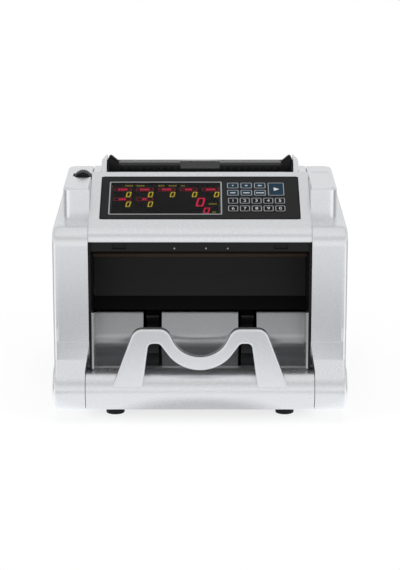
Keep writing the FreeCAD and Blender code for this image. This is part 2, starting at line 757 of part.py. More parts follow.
def panel_sketch(body, height="0"):
    """A sketch on the panel's plane: x across, y up the slope from the panel's lower edge."""
    sketch = new_sketch(body, "XY_Plane")
    turn = FreeCAD.Rotation(FreeCAD.Vector(1, 0, 0), value("slope_angle"))
    sketch.AttachmentOffset = FreeCAD.Placement(FreeCAD.Vector(), turn)
    bind(
        sketch,
        AttachmentOffset__Rotation__Angle=SLOPE,
        AttachmentOffset__Base__y=f"{PANEL_Y} - ({height}) * sin({SLOPE})",
        AttachmentOffset__Base__z=f"{PANEL_Z} + ({height}) * cos({SLOPE})",
    )
    return sketch


def panel_height(point):
    """How far a point is above the panel's plane."""
    angle = math.radians(value("slope_angle"))
    return (point.z - value(PANEL_Z)) * math.cos(angle) - (point.y - value(PANEL_Y)) * math.sin(angle)


def stands_on_panel(edge):
    """True for a straight edge square to the panel."""
    if len(edge.Vertexes) != 2 or not isinstance(edge.Curve, (Part.Line, Part.LineSegment)):
        return False
    a, b = (v.Point for v in edge.Vertexes)
    return close_to(abs(panel_height(b) - panel_height(a)), edge.Length)


def level_with_panel(edge, height):
    return all(close_to(panel_height(v.Point), value(height)) for v in edge.Vertexes)


def draw_centred(sketch, x, y, width, length):
    return draw_box(
        sketch,
        f"({x}) - ({width}) / 2",
        f"({y}) - ({length}) / 2",
        f"({x}) + ({width}) / 2",
        f"({y}) + ({length}) / 2",
    )


def key_table():
    """Every key: label, centre across, centre up the slope, width, length."""
    table = []
    for i, digit in enumerate((1, 2, 3, 4, 5, 6, 7, 8, 9, 0)):
        x = f"key_first_x + {i % 5} * key_pitch"
        row = "key_row_2" if i < 5 else "key_row_1"
        table.append((f"key_digit_{digit}", x, row, "key_width", "key_length"))
    for i in range(6):
        x = f"key_first_x + {i % 3} * function_pitch"
        row = "key_row_4" if i < 3 else "key_row_3"
        table.append((f"key_function_{i + 1}", x, row, "function_width", "key_length"))
    table.append(("key_start", "start_x", "start_row", "start_width", "start_length"))
    return table


KEYS = key_table()
WINDOW = ("window_left", "window_low", "window_left + window_width", "window_low + window_length")
KEYPAD = (
    "key_first_x - key_width / 2 - key_flange - slot_room",
    "key_row_1 - key_length / 2 - key_flange - slot_room",
    "start_x + start_width / 2 + key_flange + slot_room",
    "key_row_4 + key_length / 2 + key_flange + slot_room",
)


def grown(box, margin):
    x0, y0, x1, y1 = box
    return f"{x0} - {margin}", f"{y0} - {margin}", f"{x1} + {margin}", f"{y1} + {margin}"


def make_control_beam():
    body = new_body("control_beam")
    profile = new_sketch(body, "YZ_Plane")
    draw_outline(
        profile,
        [
            (FASCIA, "beam_bottom"),
            (FASCIA, "beam_corner"),
            ("beam_back_y", slope_at("beam_back_y")),
            ("beam_back_y", "beam_bottom"),
        ],
    )
    pad(body, profile, f"2 * {FRAME_OUT}", symmetric=True)
    round_edges(body, "beam_round", lambda e: passes(e, 0, (FASCIA, "beam_corner")))
    round_edges(body, "tower_edge", lambda e: passes(e, 0, ("beam_back_y", slope_at("beam_back_y"))))

    drop = f"wall / cos({SLOPE})"
    bend = f"{FASCIA} + wall + beam_round / 2"
    inside = new_sketch(body, "YZ_Plane")
    draw_outline(
        inside,
        [
            (f"{FASCIA} + wall", "beam_bottom"),
            (f"{FASCIA} + wall", "beam_corner - beam_round / 2"),
            (bend, f"{slope_at(bend)} - {drop}"),
            ("beam_back_y - 2 * wall", f"{slope_at('beam_back_y - 2 * wall')} - {drop}"),
            ("beam_back_y - wall", f"{slope_at('beam_back_y - 2 * wall')} - {drop} - wall"),
            ("beam_back_y - wall", "beam_bottom"),
        ],
    )
    pocket(body, inside, f"2 * ({FRAME_OUT} - wall)", symmetric=True)

    recess = panel_sketch(body)
    draw_box(
        recess, "-panel_width / 2 - gap", "-gap", "panel_width / 2 + gap", "panel_length + gap"
    )
    pocket(body, recess, "panel_sink")
    for hole in (grown(WINDOW, "(-2 * wall)"), KEYPAD):
        opening = panel_sketch(body)
        draw_box(opening, *hole)
        pocket(body, opening, "2 * wall")
    return body


def make_panel_fascia():
    body = new_body("panel_fascia")
    sheet_sketch = panel_sketch(body, "-panel_sink")
    draw_box(sheet_sketch, "-panel_width / 2", "0", "panel_width / 2", "panel_length")
    pad(body, sheet_sketch, "panel_thick")
    round_edges(body, "panel_corner", stands_on_panel)

    seat = panel_sketch(body, PANEL_TOP)
    draw_box(seat, *grown(WINDOW, "gap"))
    pocket(body, seat, "window_thick")
    through = panel_sketch(body, PANEL_TOP)
    draw_box(through, *grown(WINDOW, "(-wall)"))
    pocket(body, through, "2 * panel_thick")

    holes = panel_sketch(body, PANEL_TOP)
    for _, x, row, width, length in KEYS:
        draw_centred(holes, x, row, f"{width} + 2 * key_gap", f"{length} + 2 * key_gap")
    pocket(body, holes, "2 * panel_thick")
    return body


def make_display_window():
    body = new_body("display_window")
    lens = panel_sketch(body, f"{PANEL_TOP} - window_thick")
    draw_box(lens, *WINDOW)
    pad(body, lens, "window_thick")
    return body


def make_display_board():
    """Circuit board with the digit modules, a switch under each key and four posts."""
    body = new_body("display_board")
    left, right = "(-panel_width / 2 + wall)", "(panel_width / 2 - wall)"
    low, high = "wall", "(panel_length - wall)"
    board = panel_sketch(body, f"{BOARD_TOP} - board_thick")
    draw_box(board, left, low, right, high)
    pad(body, board, "board_thick")

    modules = panel_sketch(body, BOARD_TOP)
    draw_box(modules, *grown(WINDOW, "(-3 * wall)"))
    pad(body, modules, "switch_height + key_stem")

    switches = panel_sketch(body, BOARD_TOP)
    for _, x, row, _, _ in KEYS:
        draw_centred(switches, x, row, "3 * key_stem_radius", "3 * key_stem_radius")
    pad(body, switches, "switch_height")

    posts = panel_sketch(body, BOARD_TOP)
    for x in (f"{left} + key_stem_radius", f"{right} - key_stem_radius"):
        for y in (f"{low} + key_stem_radius", f"{high} - key_stem_radius"):
            draw_circle(posts, x, y, "key_stem_radius")
    pad(body, posts, f"-wall - {BOARD_TOP}")
    return body


def make_key(label, x, row, width, length):
    """Cap through the panel, flange under it and a stem over the switch."""
    body = new_body(label)
    cap = panel_sketch(body, FLANGE_TOP)
    draw_centred(cap, x, row, width, length)
    pad(body, cap, f"{PANEL_TOP} + key_proud - {FLANGE_TOP}")
    round_edges(body, "key_corner", stands_on_panel)
    top = f"{PANEL_TOP} + key_proud"
    round_edges(body, "key_proud / 2", lambda e: level_with_panel(e, top))

    flange = panel_sketch(body, FLANGE_TOP)
    draw_centred(flange, x, row, f"{width} + 2 * key_flange", f"{length} + 2 * key_flange")
    pad(body, flange, "key_flange_thick", reverse=True)
    stem = panel_sketch(body, STEM_TOP)
    draw_circle(stem, x, row, "key_stem_radius")
    pad(body, stem, "key_stem", reverse=True)
    return body


keep(make_control_beam())
keep(make_panel_fascia())
keep(make_display_window())
keep(make_display_board())
for key in KEYS:
    keep(make_key(*key))


# Front bar, note stop and stacker tray

def make_front_bar():
    body = new_body("front_bar")
    tube = new_sketch(body, "YZ_Plane")
    draw_circle(tube, HUB_Y, HUB_Z, "hub_radius")
    draw_circle(tube, HUB_Y, HUB_Z, "hub_radius - bar_wall")
    pad(body, tube, f"2 * ({INNER} + hub_inset - bar_gap)", symmetric=True)
    return body


DIP_POINT = "(stop_dip_z - stop_dip_round * (1 / cos(stop_dip_angle * 1 deg) - 1))"
BELLY_POINT = "(stop_belly_z - stop_belly_round * (1 / cos(stop_belly_angle * 1 deg) - 1))"
ARCH_Z = "(stop_top_z - stop_band)"
HUMP_IN = f"((stop_top_z - {DIP_POINT}) / tan(stop_dip_angle * 1 deg))"
ARCH_IN = f"(({ARCH_Z} - {BELLY_POINT}) / tan(stop_belly_angle * 1 deg))"
STOP_HALF = [
    (HUMP_IN, "stop_top_z"),
    ("stop_hump_out", "stop_top_z"),
    ("stop_foot_out", "stop_foot_z"),
    ("stop_foot_in", "stop_foot_z"),
    ("stop_arch_out", ARCH_Z),
    (ARCH_IN, ARCH_Z),
]


def make_stacker_stop():
    """An M on the bar: two legs, two humps with arches under them and a round dip between."""
    body = new_body("stacker_stop")
    outline = new_sketch(body, "XZ_Plane", f"-{FRONT}")
    mirrored = [(f"-{x}", z) for x, z in reversed(STOP_HALF)]
    draw_outline(outline, [("0", DIP_POINT)] + STOP_HALF + [("0", BELLY_POINT)] + mirrored)
    pad(body, outline, "stop_thick", reverse=True)

    def corner(edge, *places):
        return any(passes(edge, 1, (f"{side} * ({x})", z)) for x, z in places for side in (-1, 1))

    round_edges(body, "stop_dip_round", lambda e: corner(e, ("0", DIP_POINT)))
    round_edges(body, "stop_belly_round", lambda e: corner(e, ("0", BELLY_POINT)))
    round_edges(body, "stop_hump_round", lambda e: corner(e, *STOP_HALF[:2]))
    round_edges(body, "stop_arch_round", lambda e: corner(e, *STOP_HALF[-2:]))
    back = f"{FRONT} + stop_thick"
    round_edges(body, "stop_edge", lambda e: lies_at(e, 1, FRONT) or lies_at(e, 1, back))

    seat = draw_circle(new_sketch(body, "YZ_Plane"), HUB_Y, HUB_Z, "hub_radius + bore_gap")
    pocket(body, seat, "2 * stop_foot_out + stop_thick", symmetric=True)
    return body


def make_stacker_tray():
    """A bent sheet with a floor and a round guard over the stacker wheels, between two side walls."""
    body = new_body("stacker_tray")
    wall_y = "(guard_y + guard_step)"
    top_y = "(guard_y + guard_lean)"
    low = "wheel_z - 2 * guard_step"
    under = "wheel_z - guard_step / 2"
    over = "wheel_z + guard_step"
    front = [
        (f"{BAR_BACK} + tray_thick", "tray_lip_z"),
        (f"{BAR_BACK} + tray_thick", "tray_floor_z + tray_thick"),
        (wall_y, "tray_floor_z + tray_thick"),
        (wall_y, low),
        ("guard_y", under),
        ("guard_y", over),
        (top_y, "guard_top_z"),
    ]
    rear = [
        (f"{top_y} + tray_thick", "guard_top_z"),
        ("guard_y + tray_thick", f"{over} - tray_thick / 3"),
        ("guard_y + tray_thick", f"{under} + tray_thick / 3"),
        (f"{wall_y} + tray_thick", f"{low} + tray_thick / 3"),
        (f"{wall_y} + tray_thick", "tray_floor_z"),
        (BAR_BACK, "tray_floor_z"),
        (BAR_BACK, "tray_lip_z"),
    ]
    profile = draw_outline(new_sketch(body, "YZ_Plane"), front + rear)
    half = f"({FRAME_IN} - gap)"
    pad(body, profile, f"2 * {half}", symmetric=True)
    round_edges(body, "guard_round", lambda e: passes(e, 0, *front[3:6]))
    slots = new_sketch(body, "XZ_Plane", f"-({top_y} + 2 * tray_thick)")
    for side in (-1, 1):
        draw_box(
            slots,
            f"{side} * wheel_x - wheel_width / 2 - wheel_slot",
            "tray_floor_z + 2 * tray_thick",
            f"{side} * wheel_x + wheel_width / 2 + wheel_slot",
            "guard_top_z + tray_thick",
        )
    pocket(body, slots, "guard_lean + 4 * tray_thick", reverse=True)

    for side in (-1, 1):
        wing = new_sketch(body, "YZ_Plane", f"{side} * {half}")
        draw_outline(
            wing,
            [
                (BAR_BACK, "tray_floor_z"),
                (f"{wall_y} + tray_thick", "tray_floor_z"),
                (f"{wall_y} + tray_thick", "guard_top_z"),
                ("frame_front_y + tray_thick", "tray_front_z"),
                ("frame_front_y + tray_thick", f"{BAR_TOP} + gap"),
                (BAR_BACK, f"{BAR_TOP} + gap"),
            ],
        )
        pad(body, wing, "tray_side", reverse=side > 0)
    return body


keep(make_front_bar())
keep(make_stacker_stop())
keep(make_stacker_tray())


# Base pan, feet and side frames

HOOD_Z = "(shoulder_height - hood_step)"
HOOD_FOOT = "(slope_foot_z + hood_step)"
HOOD_INNER_TOP = ("(slope_top_y - wall / 2)", f"({HOOD_Z} - wall)")
HOOD_INNER_FOOT = ("(back_y - wall)", f"({HOOD_FOOT} - wall / 2)")


def make_base_pan():
    body = new_body("base_pan")
    inner_half = f"({FRAME_IN} - gap)"
    floor = new_sketch(body, "XY_Plane", "foot_height")
    draw_box(floor, f"-{inner_half}", "base_front_y", inner_half, "back_y - wall - gap")
    pad(body, floor, "wall")
    rim = new_sketch(body, "XY_Plane", PAN_TOP)
    back = "back_y - wall - gap"
    draw_box(rim, f"-{inner_half}", f"{back} - wall", inner_half, back)
    for side in (-1, 1):
        draw_box(
            rim,
            f"{side} * {inner_half}",
            "wheel_y",
            f"{side} * ({inner_half} - wall)",
            f"{back} - wall",
        )
    pad(body, rim, "base_rim")
    return body


def make_rubber_feet():
    feet = []
    for x in ("-foot_spread / 2", "foot_spread / 2"):
        for y in ("foot_front_y", "foot_rear_y"):
            foot = doc.addObject("Part::Cone", "foot")
            bind(foot, Radius1="foot_radius - foot_taper", Radius2="foot_radius", Height="foot_height")
            bind(foot, Placement__Base__x=x, Placement__Base__y=y)
            feet.append(foot)
    return group("rubber_feet", feet)


TIES = [
    ("slope_top_y - tie_in", "feed_z + tie_radius"),
    ("back_y - 4 * tie_in", "slope_foot_z - tie_drop"),
    ("wheel_y - 3 * tie_in", "foot_height + 2 * tie_radius"),
]


def make_frame(side):
    body = new_body("frame_plate")
    plate = new_sketch(body, "YZ_Plane", f"{side} * {FRAME_IN}")
    tower_back = f"({TOWER_FRONT} + tower_depth - wall)"
    draw_outline(
        plate,
        [
            (f"{BAR_BACK} + gap", PAN_TOP),
            ("back_y - wall - gap", PAN_TOP),
            ("back_y - wall - gap", f"{HOOD_INNER_FOOT[1]} - gap"),
            (f"{HOOD_INNER_TOP[0]} - gap", f"{HOOD_INNER_TOP[1]} - gap"),
            (f"{tower_back} + wall", f"{HOOD_INNER_TOP[1]} - gap"),
            (tower_back, "frame_top_z"),
            ("beam_back_y + gap", "frame_top_z"),
            ("beam_back_y + gap", "beam_bottom - gap"),
            ("frame_front_y", "beam_bottom - gap"),
            ("frame_front_y", f"{BAR_TOP} + gap"),
            (f"{BAR_BACK} + gap", f"{BAR_TOP} + gap"),
        ],
    )
    for y, z in SHAFTS.values():
        draw_circle(plate, y, z, "bearing_radius + bore_gap")
    draw_circle(plate, PINCH_Y, PINCH_Z, "pinch_axle + bore_gap")
    draw_circle(plate, "motor_y", "motor_z", "shaft_radius + slot_room")
    reach = "(retard_axle + retard_travel + run_gap)"
    draw_box(
        plate,
        f"{RETARD_Y} - {reach}",
        "feed_z - retard_axle - run_gap",
        f"{RETARD_Y} + {reach}",
        "feed_z + retard_axle + run_gap",
    )
    pad(body, plate, "frame_thick", reverse=side < 0)
    return body


SHAFTS = {
    "pickup": ("pickup_y", "pickup_z"),
    "feed": ("feed_y", "feed_z"),
    "transport": ("transport_y", "transport_z"),
    "stacker": ("wheel_y", "wheel_z"),
}


def make_side_frames():
    plates = [make_frame(side) for side in (-1, 1)]
    bars = [cylinder_x("tie_bar", f"-{FRAME_IN}", FRAME_IN, y, z, "tie_radius") for y, z in TIES]
    return group("side_frames", plates + bars)


keep(make_base_pan())
keep(make_rubber_feet())
keep(make_side_frames())


# Hopper: ribbed plate, note guides on their rod, and the hood behind

GUIDE_Y = "(hopper_y - rib_height - run_gap)"
GUIDE_OUT = "(hopper_width / 2 - run_gap)"
TONGUE_OUT = f"({GUIDE_OUT} - guide_sheet)"
TONGUE_IN = f"({GUIDE_OUT} - guide_sheet - tongue_width)"
EYE = "(rail_radius + eye_wall)"


def make_hopper_plate():
    body = new_body("hopper_plate")
    profile = new_sketch(body, "YZ_Plane")
    back = "hopper_y + hopper_lip"
    draw_outline(
        profile,
        [
            ("hopper_y", "hopper_low_z"),
            ("hopper_y", "hopper_top_z"),
            (back, "hopper_top_z"),
            (back, "hopper_top_z - wall"),
            ("hopper_y + wall", "hopper_top_z - wall"),
            ("hopper_y + wall", "hopper_low_z"),
        ],
    )
    pad(body, profile, f"2 * ({CHEEK} - gap)", symmetric=True)
    round_edges(body, "tower_edge", lambda e: passes(e, 0, ("hopper_y", "hopper_top_z")))

    ribs = new_sketch(body, "XZ_Plane", "-hopper_y")
    for side in (-1, 1):
        for i in range(10):
            x = f"({side} * (rib_first_x + {i} * rib_pitch))"
            top = "hopper_top_z - rib_drop"
            draw_box(ribs, f"{x} - rib_width / 2", "hopper_low_z", f"{x} + rib_width / 2", top)
    pad(body, ribs, "rib_height")

    notch = new_sketch(body, "YZ_Plane")
    low = "hopper_top_z - notch_depth"
    draw_box(notch, "hopper_y - wall", f"{low} - wall", f"{back} + wall", "hopper_top_z + wall")
    pocket(body, notch, "2 * notch_half", symmetric=True)
    chute = new_sketch(body, "YZ_Plane")
    draw_outline(
        chute,
        [
            ("hopper_y", f"{low} - wall"),
            ("hopper_y", low),
            (back, f"{low} + notch_rise"),
            (back, f"{low} + notch_rise - wall"),
            ("hopper_y + wall", f"{low} - wall"),
        ],
    )
    pad(body, chute, "2 * notch_half", symmetric=True)

    slots = new_sketch(body, "XZ_Plane", "-hopper_y")
    for side in (-1, 1):
        draw_box(
            slots,
            f"{side} * feed_x - pickup_width / 2 - slot_room",
            "pickup_z - pickup_radius - door_room",
            f"{side} * feed_x + pickup_width / 2 + slot_room",
            "pickup_z + pickup_radius + door_room",
        )
        draw_box(
            slots,
            f"{side} * ({TONGUE_IN} - guide_travel - slot_room)",
            "rail_z - tongue_height / 2 - run_gap",
            f"{side} * ({TONGUE_OUT} + slot_room)",
            "rail_z + tongue_height / 2 + run_gap",
        )
    pocket(body, slots, "4 * wall", symmetric=True)
    return body


def make_note_guide(side, label):
    """A corner piece in front of the plate, its flared ear, and a tongue to the rod behind."""
    body = new_body(label)
    top = "(hopper_top_z - guide_drop)"
    inner = f"{side} * ({GUIDE_OUT} - guide_width)"
    outer = f"{side} * {GUIDE_OUT}"

    flat = new_sketch(body, "XZ_Plane", f"-{GUIDE_Y}")
    draw_outline(
        flat,
        [
            (inner, "guide_low_z"),
            (inner, f"{top} + ear_height / 3"),
            (f"{side} * ({GUIDE_OUT} - guide_sheet)", f"{top} + ear_height"),
            (outer, f"{top} + ear_height"),
            (outer, "guide_low_z"),
        ],
    )
    pad(body, flat, "guide_sheet")

    fence = new_sketch(body, "YZ_Plane", outer)
    draw_outline(
        fence,
        [
            (GUIDE_Y, "guide_low_z"),
            (GUIDE_Y, f"{top} + ear_height"),
            (f"{GUIDE_Y} - guide_sheet", f"{top} + ear_height"),
            (f"{GUIDE_Y} - guide_reach", f"{top} - ear_height"),
            (f"{GUIDE_Y} - guide_reach", "guide_low_z"),
        ],
    )
    pad(body, fence, "guide_sheet", reverse=side > 0)
    slant = new_sketch(body, "XZ_Plane", f"-{GUIDE_Y}")
    draw_outline(
        slant,
        [
            (outer, f"{top} - ear_slant"),
            (outer, f"{top} + ear_height"),
            (f"{side} * ({GUIDE_OUT} - ear_slant)", f"{top} + ear_height"),
        ],
    )
    pocket(body, slant, "4 * guide_reach", symmetric=True)

    tongue = new_sketch(body, "YZ_Plane", f"{side} * {TONGUE_OUT}")
    draw_outline(
        tongue,
        [
            (f"{GUIDE_Y} - guide_sheet / 2", "rail_z - tongue_height / 2"),
            (f"rail_y - {EYE}", "rail_z - tongue_height / 2"),
            (f"rail_y - {EYE}", f"rail_z - {EYE}"),
            (f"rail_y + {EYE}", f"rail_z - {EYE}"),
            (f"rail_y + {EYE}", f"rail_z + {EYE}"),
            (f"rail_y - {EYE}", f"rail_z + {EYE}"),
            (f"rail_y - {EYE}", "rail_z + tongue_height / 2"),
            (f"{GUIDE_Y} - guide_sheet / 2", "rail_z + tongue_height / 2"),
        ],
    )
    pad(body, tongue, f"{TONGUE_OUT} - {TONGUE_IN}", reverse=side > 0)
    eye = new_sketch(body, "YZ_Plane", f"{side} * {TONGUE_OUT}")
    draw_circle(eye, "rail_y", "rail_z", "rail_radius + run_gap")
    pocket(body, eye, f"2 * ({TONGUE_OUT} - {TONGUE_IN})", symmetric=True)
    return body


def make_rear_hood():
    """Ledge and slope between the housings, a narrower hump and the two hopper cheeks."""
    body = new_body("rear_hood")
    slope = new_sketch(body, "YZ_Plane")
    draw_outline(
        slope,
        [
            ("hood_front_y", HOOD_Z),
            ("slope_top_y", HOOD_Z),
            ("back_y", HOOD_FOOT),
            ("back_y", "back_top_z"),
            ("back_y - wall", "back_top_z"),
            HOOD_INNER_FOOT,
            HOOD_INNER_TOP,
            ("hood_front_y", f"{HOOD_Z} - wall"),
        ],
    )
    pad(body, slope, f"2 * {FRAME_OUT}", symmetric=True)
    round_edges(
        body,
        "back_foot_round",
        lambda e: passes(e, 0, ("back_y", HOOD_FOOT), ("slope_top_y", HOOD_Z)),
    )

    lip = "(hopper_y + hopper_lip + gap)"
    hump = new_sketch(body, "YZ_Plane")
    draw_outline(
        hump,
        [
            (lip, "hopper_top_z + hump_lip"),
            ("hump_y", "hump_z"),
            ("slope_top_y - 2 * wall", f"{HOOD_Z} - wall / 2"),
            ("slope_top_y - 4 * wall", f"{HOOD_Z} - wall / 2"),
            ("hump_y - 1.2 * wall", "hump_z - wall"),
            (lip, "hopper_top_z + hump_lip - wall"),
        ],
    )
    pad(body, hump, f"2 * ({CHEEK} + wall)", symmetric=True)
    round_edges(body, "2 * edge_round", lambda e: passes(e, 0, ("hump_y", "hump_z")))

    for side in (-1, 1):
        cheek = new_sketch(body, "YZ_Plane", f"{side} * {CHEEK}")
        draw_outline(
            cheek,
            [
                ("cheek_front_y", "cheek_low_z"),
                ("cheek_front_y", "cheek_top_z - cheek_rise"),
                ("cheek_front_y + cheek_run", "cheek_top_z"),
                ("hump_y - cheek_fall", "cheek_top_z"),
                ("hump_y", "hump_z"),
                ("slope_top_y - 2 * wall", f"{HOOD_Z} - wall / 2"),
                ("hood_front_y", f"{HOOD_Z} - wall / 2"),
                ("hood_front_y", "cheek_low_z"),
            ],
        )
        pad(body, cheek, "cheek_thick", reverse=side < 0)
        bore = new_sketch(body, "YZ_Plane", f"{side} * {CHEEK}")
        draw_circle(bore, "pickup_y", "pickup_z", "bearing_radius")
        pocket(body, bore, "4 * cheek_thick", symmetric=True)

    outside = f"{CHEEK} + cheek_thick"
    front_z = "cheek_top_z - cheek_rise"

    def rolls(edge):
        """Outer edges of the cheeks over the top."""
        if not (lies_at(edge, 0, outside) or lies_at(edge, 0, f"-({outside})")):
            return False
        middle = edge.CenterOfMass
        return middle.z > value(front_z) and middle.y < value("hump_y")

    bevel_edges(body, "cheek_bevel", rolls)
    return body


keep(make_hopper_plate())
keep(make_note_guide(-1, "left_note_guide"))
keep(make_note_guide(1, "right_note_guide"))
keep(named(cylinder_x("guide_rail", f"-{CHEEK}", CHEEK, "rail_y", "rail_z", "rail_radius"), "guide_rail"))
keep(make_rear_hood())


# Rear panel with the power module

MODULE_LEFT = "(module_x - module_width / 2)"
SOCKET_X = f"({MODULE_LEFT} + 4 * wall + socket_width / 2)"
ROCKER_X = "(module_x + module_width / 2 - 2 * wall - rocker_width / 2)"


VENTS = 12


def make_rear_panel():
    body = new_body("rear_panel")
    plate = new_sketch(body, "XZ_Plane", "-back_y")
    draw_box(plate, f"-{FRAME_OUT}", "foot_height", FRAME_OUT, "back_top_z - gap")
    pad(body, plate, "wall")
    cutout = new_sketch(body, "XZ_Plane", "-back_y")
    draw_centred(cutout, "module_x", "module_z", "module_width - 2 * wall", "module_height - 2 * wall")
    for i in range(VENTS):
        x = f"(-module_x + {i - (VENTS - 1) / 2} * vent_pitch)"
        draw_centred(cutout, x, "module_z + vent_height / 2", "vent_width", "vent_height")
    pocket(body, cutout, "4 * wall", symmetric=True)
    return body


def make_power_module():
    """Flange on the rear panel, a box behind it, an inlet socket with pins and a well for the rocker."""
    body = new_body("power_module")
    flange = new_sketch(body, "XZ_Plane", "-back_y")
    draw_centred(flange, "module_x", "module_z", "module_width", "module_height")
    pad(body, flange, "wall", reverse=True)
    case = new_sketch(body, "XZ_Plane", "-back_y")
    inset = "(2 * wall + 2 * gap)"
    draw_centred(case, "module_x", "module_z", f"module_width - {inset}", f"module_height - {inset}")
    pad(body, case, "module_deep")

    face = "(back_y + wall)"
    socket = new_sketch(body, "XZ_Plane", f"-{face}")
    low = "(module_z - socket_height / 2)"
    high = "(module_z + socket_height / 2)"
    draw_outline(
        socket,
        [
            (f"{SOCKET_X} - socket_width / 2", low),
            (f"{SOCKET_X} + socket_width / 2", low),
            (f"{SOCKET_X} + socket_width / 2", f"{high} - 2 * wall"),
            (f"{SOCKET_X} + socket_width / 2 - 2 * wall", high),
            (f"{SOCKET_X} - socket_width / 2 + 2 * wall", high),
            (f"{SOCKET_X} - socket_width / 2", f"{high} - 2 * wall"),
        ],
    )
    pocket(body, socket, "socket_depth", reverse=True)
    well = new_sketch(body, "XZ_Plane", f"-{face}")
    draw_centred(well, ROCKER_X, "module_z", "rocker_width + 2 * run_gap", "rocker_height + 6 * run_gap")
    pocket(body, well, "socket_depth", reverse=True)

    pins = new_sketch(body, "XZ_Plane", f"-({face} - socket_depth)")
    for i, lift in ((-1, 0), (0, 1), (1, 0)):
        draw_circle(pins, f"{SOCKET_X} + {i} * pin_pitch", f"module_z + {lift} * pin_pitch / 2", "pin_radius")
    pad(body, pins, "socket_depth - 2 * wall", reverse=True)
    return body


def make_power_rocker():
    """A shallow V, stored tilted so that its lower half is pressed in."""
    body = new_body("power_rocker")
    half = "rocker_height / 2"
    profile = new_sketch(body, "YZ_Plane", ROCKER_X)
    turn = FreeCAD.Rotation(FreeCAD.Vector(0, 0, 1), value("rocker_tilt"))
    profile.AttachmentOffset = FreeCAD.Placement(FreeCAD.Vector(), turn)
    bind(
        profile,
        AttachmentOffset__Base__x="back_y + wall - rocker_proud / 2",
        AttachmentOffset__Base__y="module_z",
        AttachmentOffset__Base__z=ROCKER_X,
        AttachmentOffset__Rotation__Angle="rocker_tilt * 1 deg",
    )
    draw_outline(
        profile,
        [
            ("rocker_proud", f"-{half}"),
            ("rocker_proud / 2", "0"),
            ("rocker_proud", half),
            ("-rocker_proud", half),
            ("-2 * rocker_proud", "0"),
            ("-rocker_proud", f"-{half}"),
        ],
    )
    pad(body, profile, "rocker_width", symmetric=True)
    return body


keep(make_rear_panel())
keep(make_power_module())
keep(make_power_rocker())


# Main board and drive motor inside the base

def make_main_board():
    """A board on four posts with a transformer, a chip field and a row of connectors."""
    body = new_body("main_board")
    left, right = "(-coil_side)", "(coil_side)"
    front, back = "(motor_y - coil_side)", "(back_y - module_deep - 3 * wall)"
    level = f"({PAN_TOP} + board_lift)"
    board = new_sketch(body, "XY_Plane", level)
    draw_box(board, left, front, right, back)
    pad(body, board, "board_thick")
    posts = new_sketch(body, "XY_Plane", PAN_TOP)
    for x in (f"{left} + 2 * wall", f"{right} - 2 * wall"):
        for y in (f"{front} + 2 * wall", f"{back} - 2 * wall"):
            draw_circle(posts, x, y, "wall")
    pad(body, posts, "board_lift")
    coil = new_sketch(body, "XY_Plane", f"{level} + board_thick")
    coil_front = f"{front} + wall"
    draw_box(coil, f"{right} - coil_side", coil_front, f"{right} - 2 * wall", f"{coil_front} + coil_side")
    pad(body, coil, "0.8 * coil_side")
    chips = new_sketch(body, "XY_Plane", f"{level} + board_thick")
    for i in range(3):
        y = f"{front} + chip_length + {i} * chip_pitch"
        draw_centred(chips, f"{left} + chip_width", y, "chip_width", "chip_length")
    draw_centred(chips, "0", f"{back} - 2 * wall", "coil_side", "2 * wall")
    pad(body, chips, "2 * wall")
    return body


def make_drive_motor():
    """A can on the left frame with a smaller end cap and a bore for its shaft."""
    start = f"-{FRAME_IN}"
    end = f"(-{FRAME_IN} + motor_length)"
    can = cylinder_x("motor_can", start, end, "motor_y", "motor_z", "motor_radius")
    cap = cylinder_x("motor_cap", end, f"{end} + 2 * wall", "motor_y", "motor_z", "0.6 * motor_radius")
    bore_end = f"{start} + motor_length / 2"
    bore_radius = "shaft_radius + bore_gap"
    bore = cylinder_x("motor_bore", f"{start} - wall", bore_end, "motor_y", "motor_z", bore_radius)
    return named(cut("drive_motor", fuse("motor_shell", can, cap), bore), "drive_motor")


keep(make_main_board())
keep(make_drive_motor())


# Guides along the note path

def bent_sheet(name, points, half):
    """A sheet across the machine that follows the points, thick towards the back."""
    body = new_body(name)
    profile = new_sketch(body, "YZ_Plane")
    rear = [(f"{y} + sheet", f"{z} + sheet / 3") for y, z in reversed(points)]
    draw_outline(profile, points + rear)
    pad(body, profile, f"2 * ({half})", symmetric=True)
    return body


def make_path_guides():
    half = f"{FRAME_IN} - gap"
    cover = bent_sheet(
        "front_cover",
        [
            ("cover_front_y", "beam_bottom - sheet"),
            ("cover_back_y", "feed_z + 2 * sheet"),
            ("cover_back_y - sheet / 2", "cover_mid_z"),
            ("cover_back_y - 3 * sheet", "cover_bend_z"),
            ("cover_low_y", "cover_low_z"),
        ],
        half,
    )
    throat = bent_sheet(
        "throat",
        [
            ("beam_back_y", "beam_bottom - path_gap"),
            (f"{RETARD_Y} + retard_radius - 2 * sheet", "feed_z + retard_radius + path_gap"),
        ],
        half,
    )
    chute = bent_sheet(
        "rear_chute",
        [
            ("transport_y - transport_radius - path_gap", "transport_z - chute_top"),
            ("wheel_y + wheel_radius + path_gap", "transport_z - chute_bend"),
            ("wheel_y + wheel_radius + 2 * path_gap", "wheel_z - wheel_radius + chute_foot"),
        ],
        half,
    )
    return group("path_guides", [cover, throat, chute])


def make_note_sensors():
    """Sensor blocks on both sides of the note path, from the frames inwards."""
    blocks = []
    low = "feed_z + retard_axle + 2 * run_gap + slot_room"
    high = f"{low} + sensor_high"
    for side in (-1, 1):
        ends = sorted((f"{side} * sensor_in", f"{side} * ({FRAME_IN} - gap)"), key=value)
        for front in (f"{RETARD_Y} - sheet", "hopper_y - rib_height"):
            blocks.append(block("note_sensor", *ends, front, f"{front} + sensor_deep", low, high))
    return group("note_sensors", blocks)


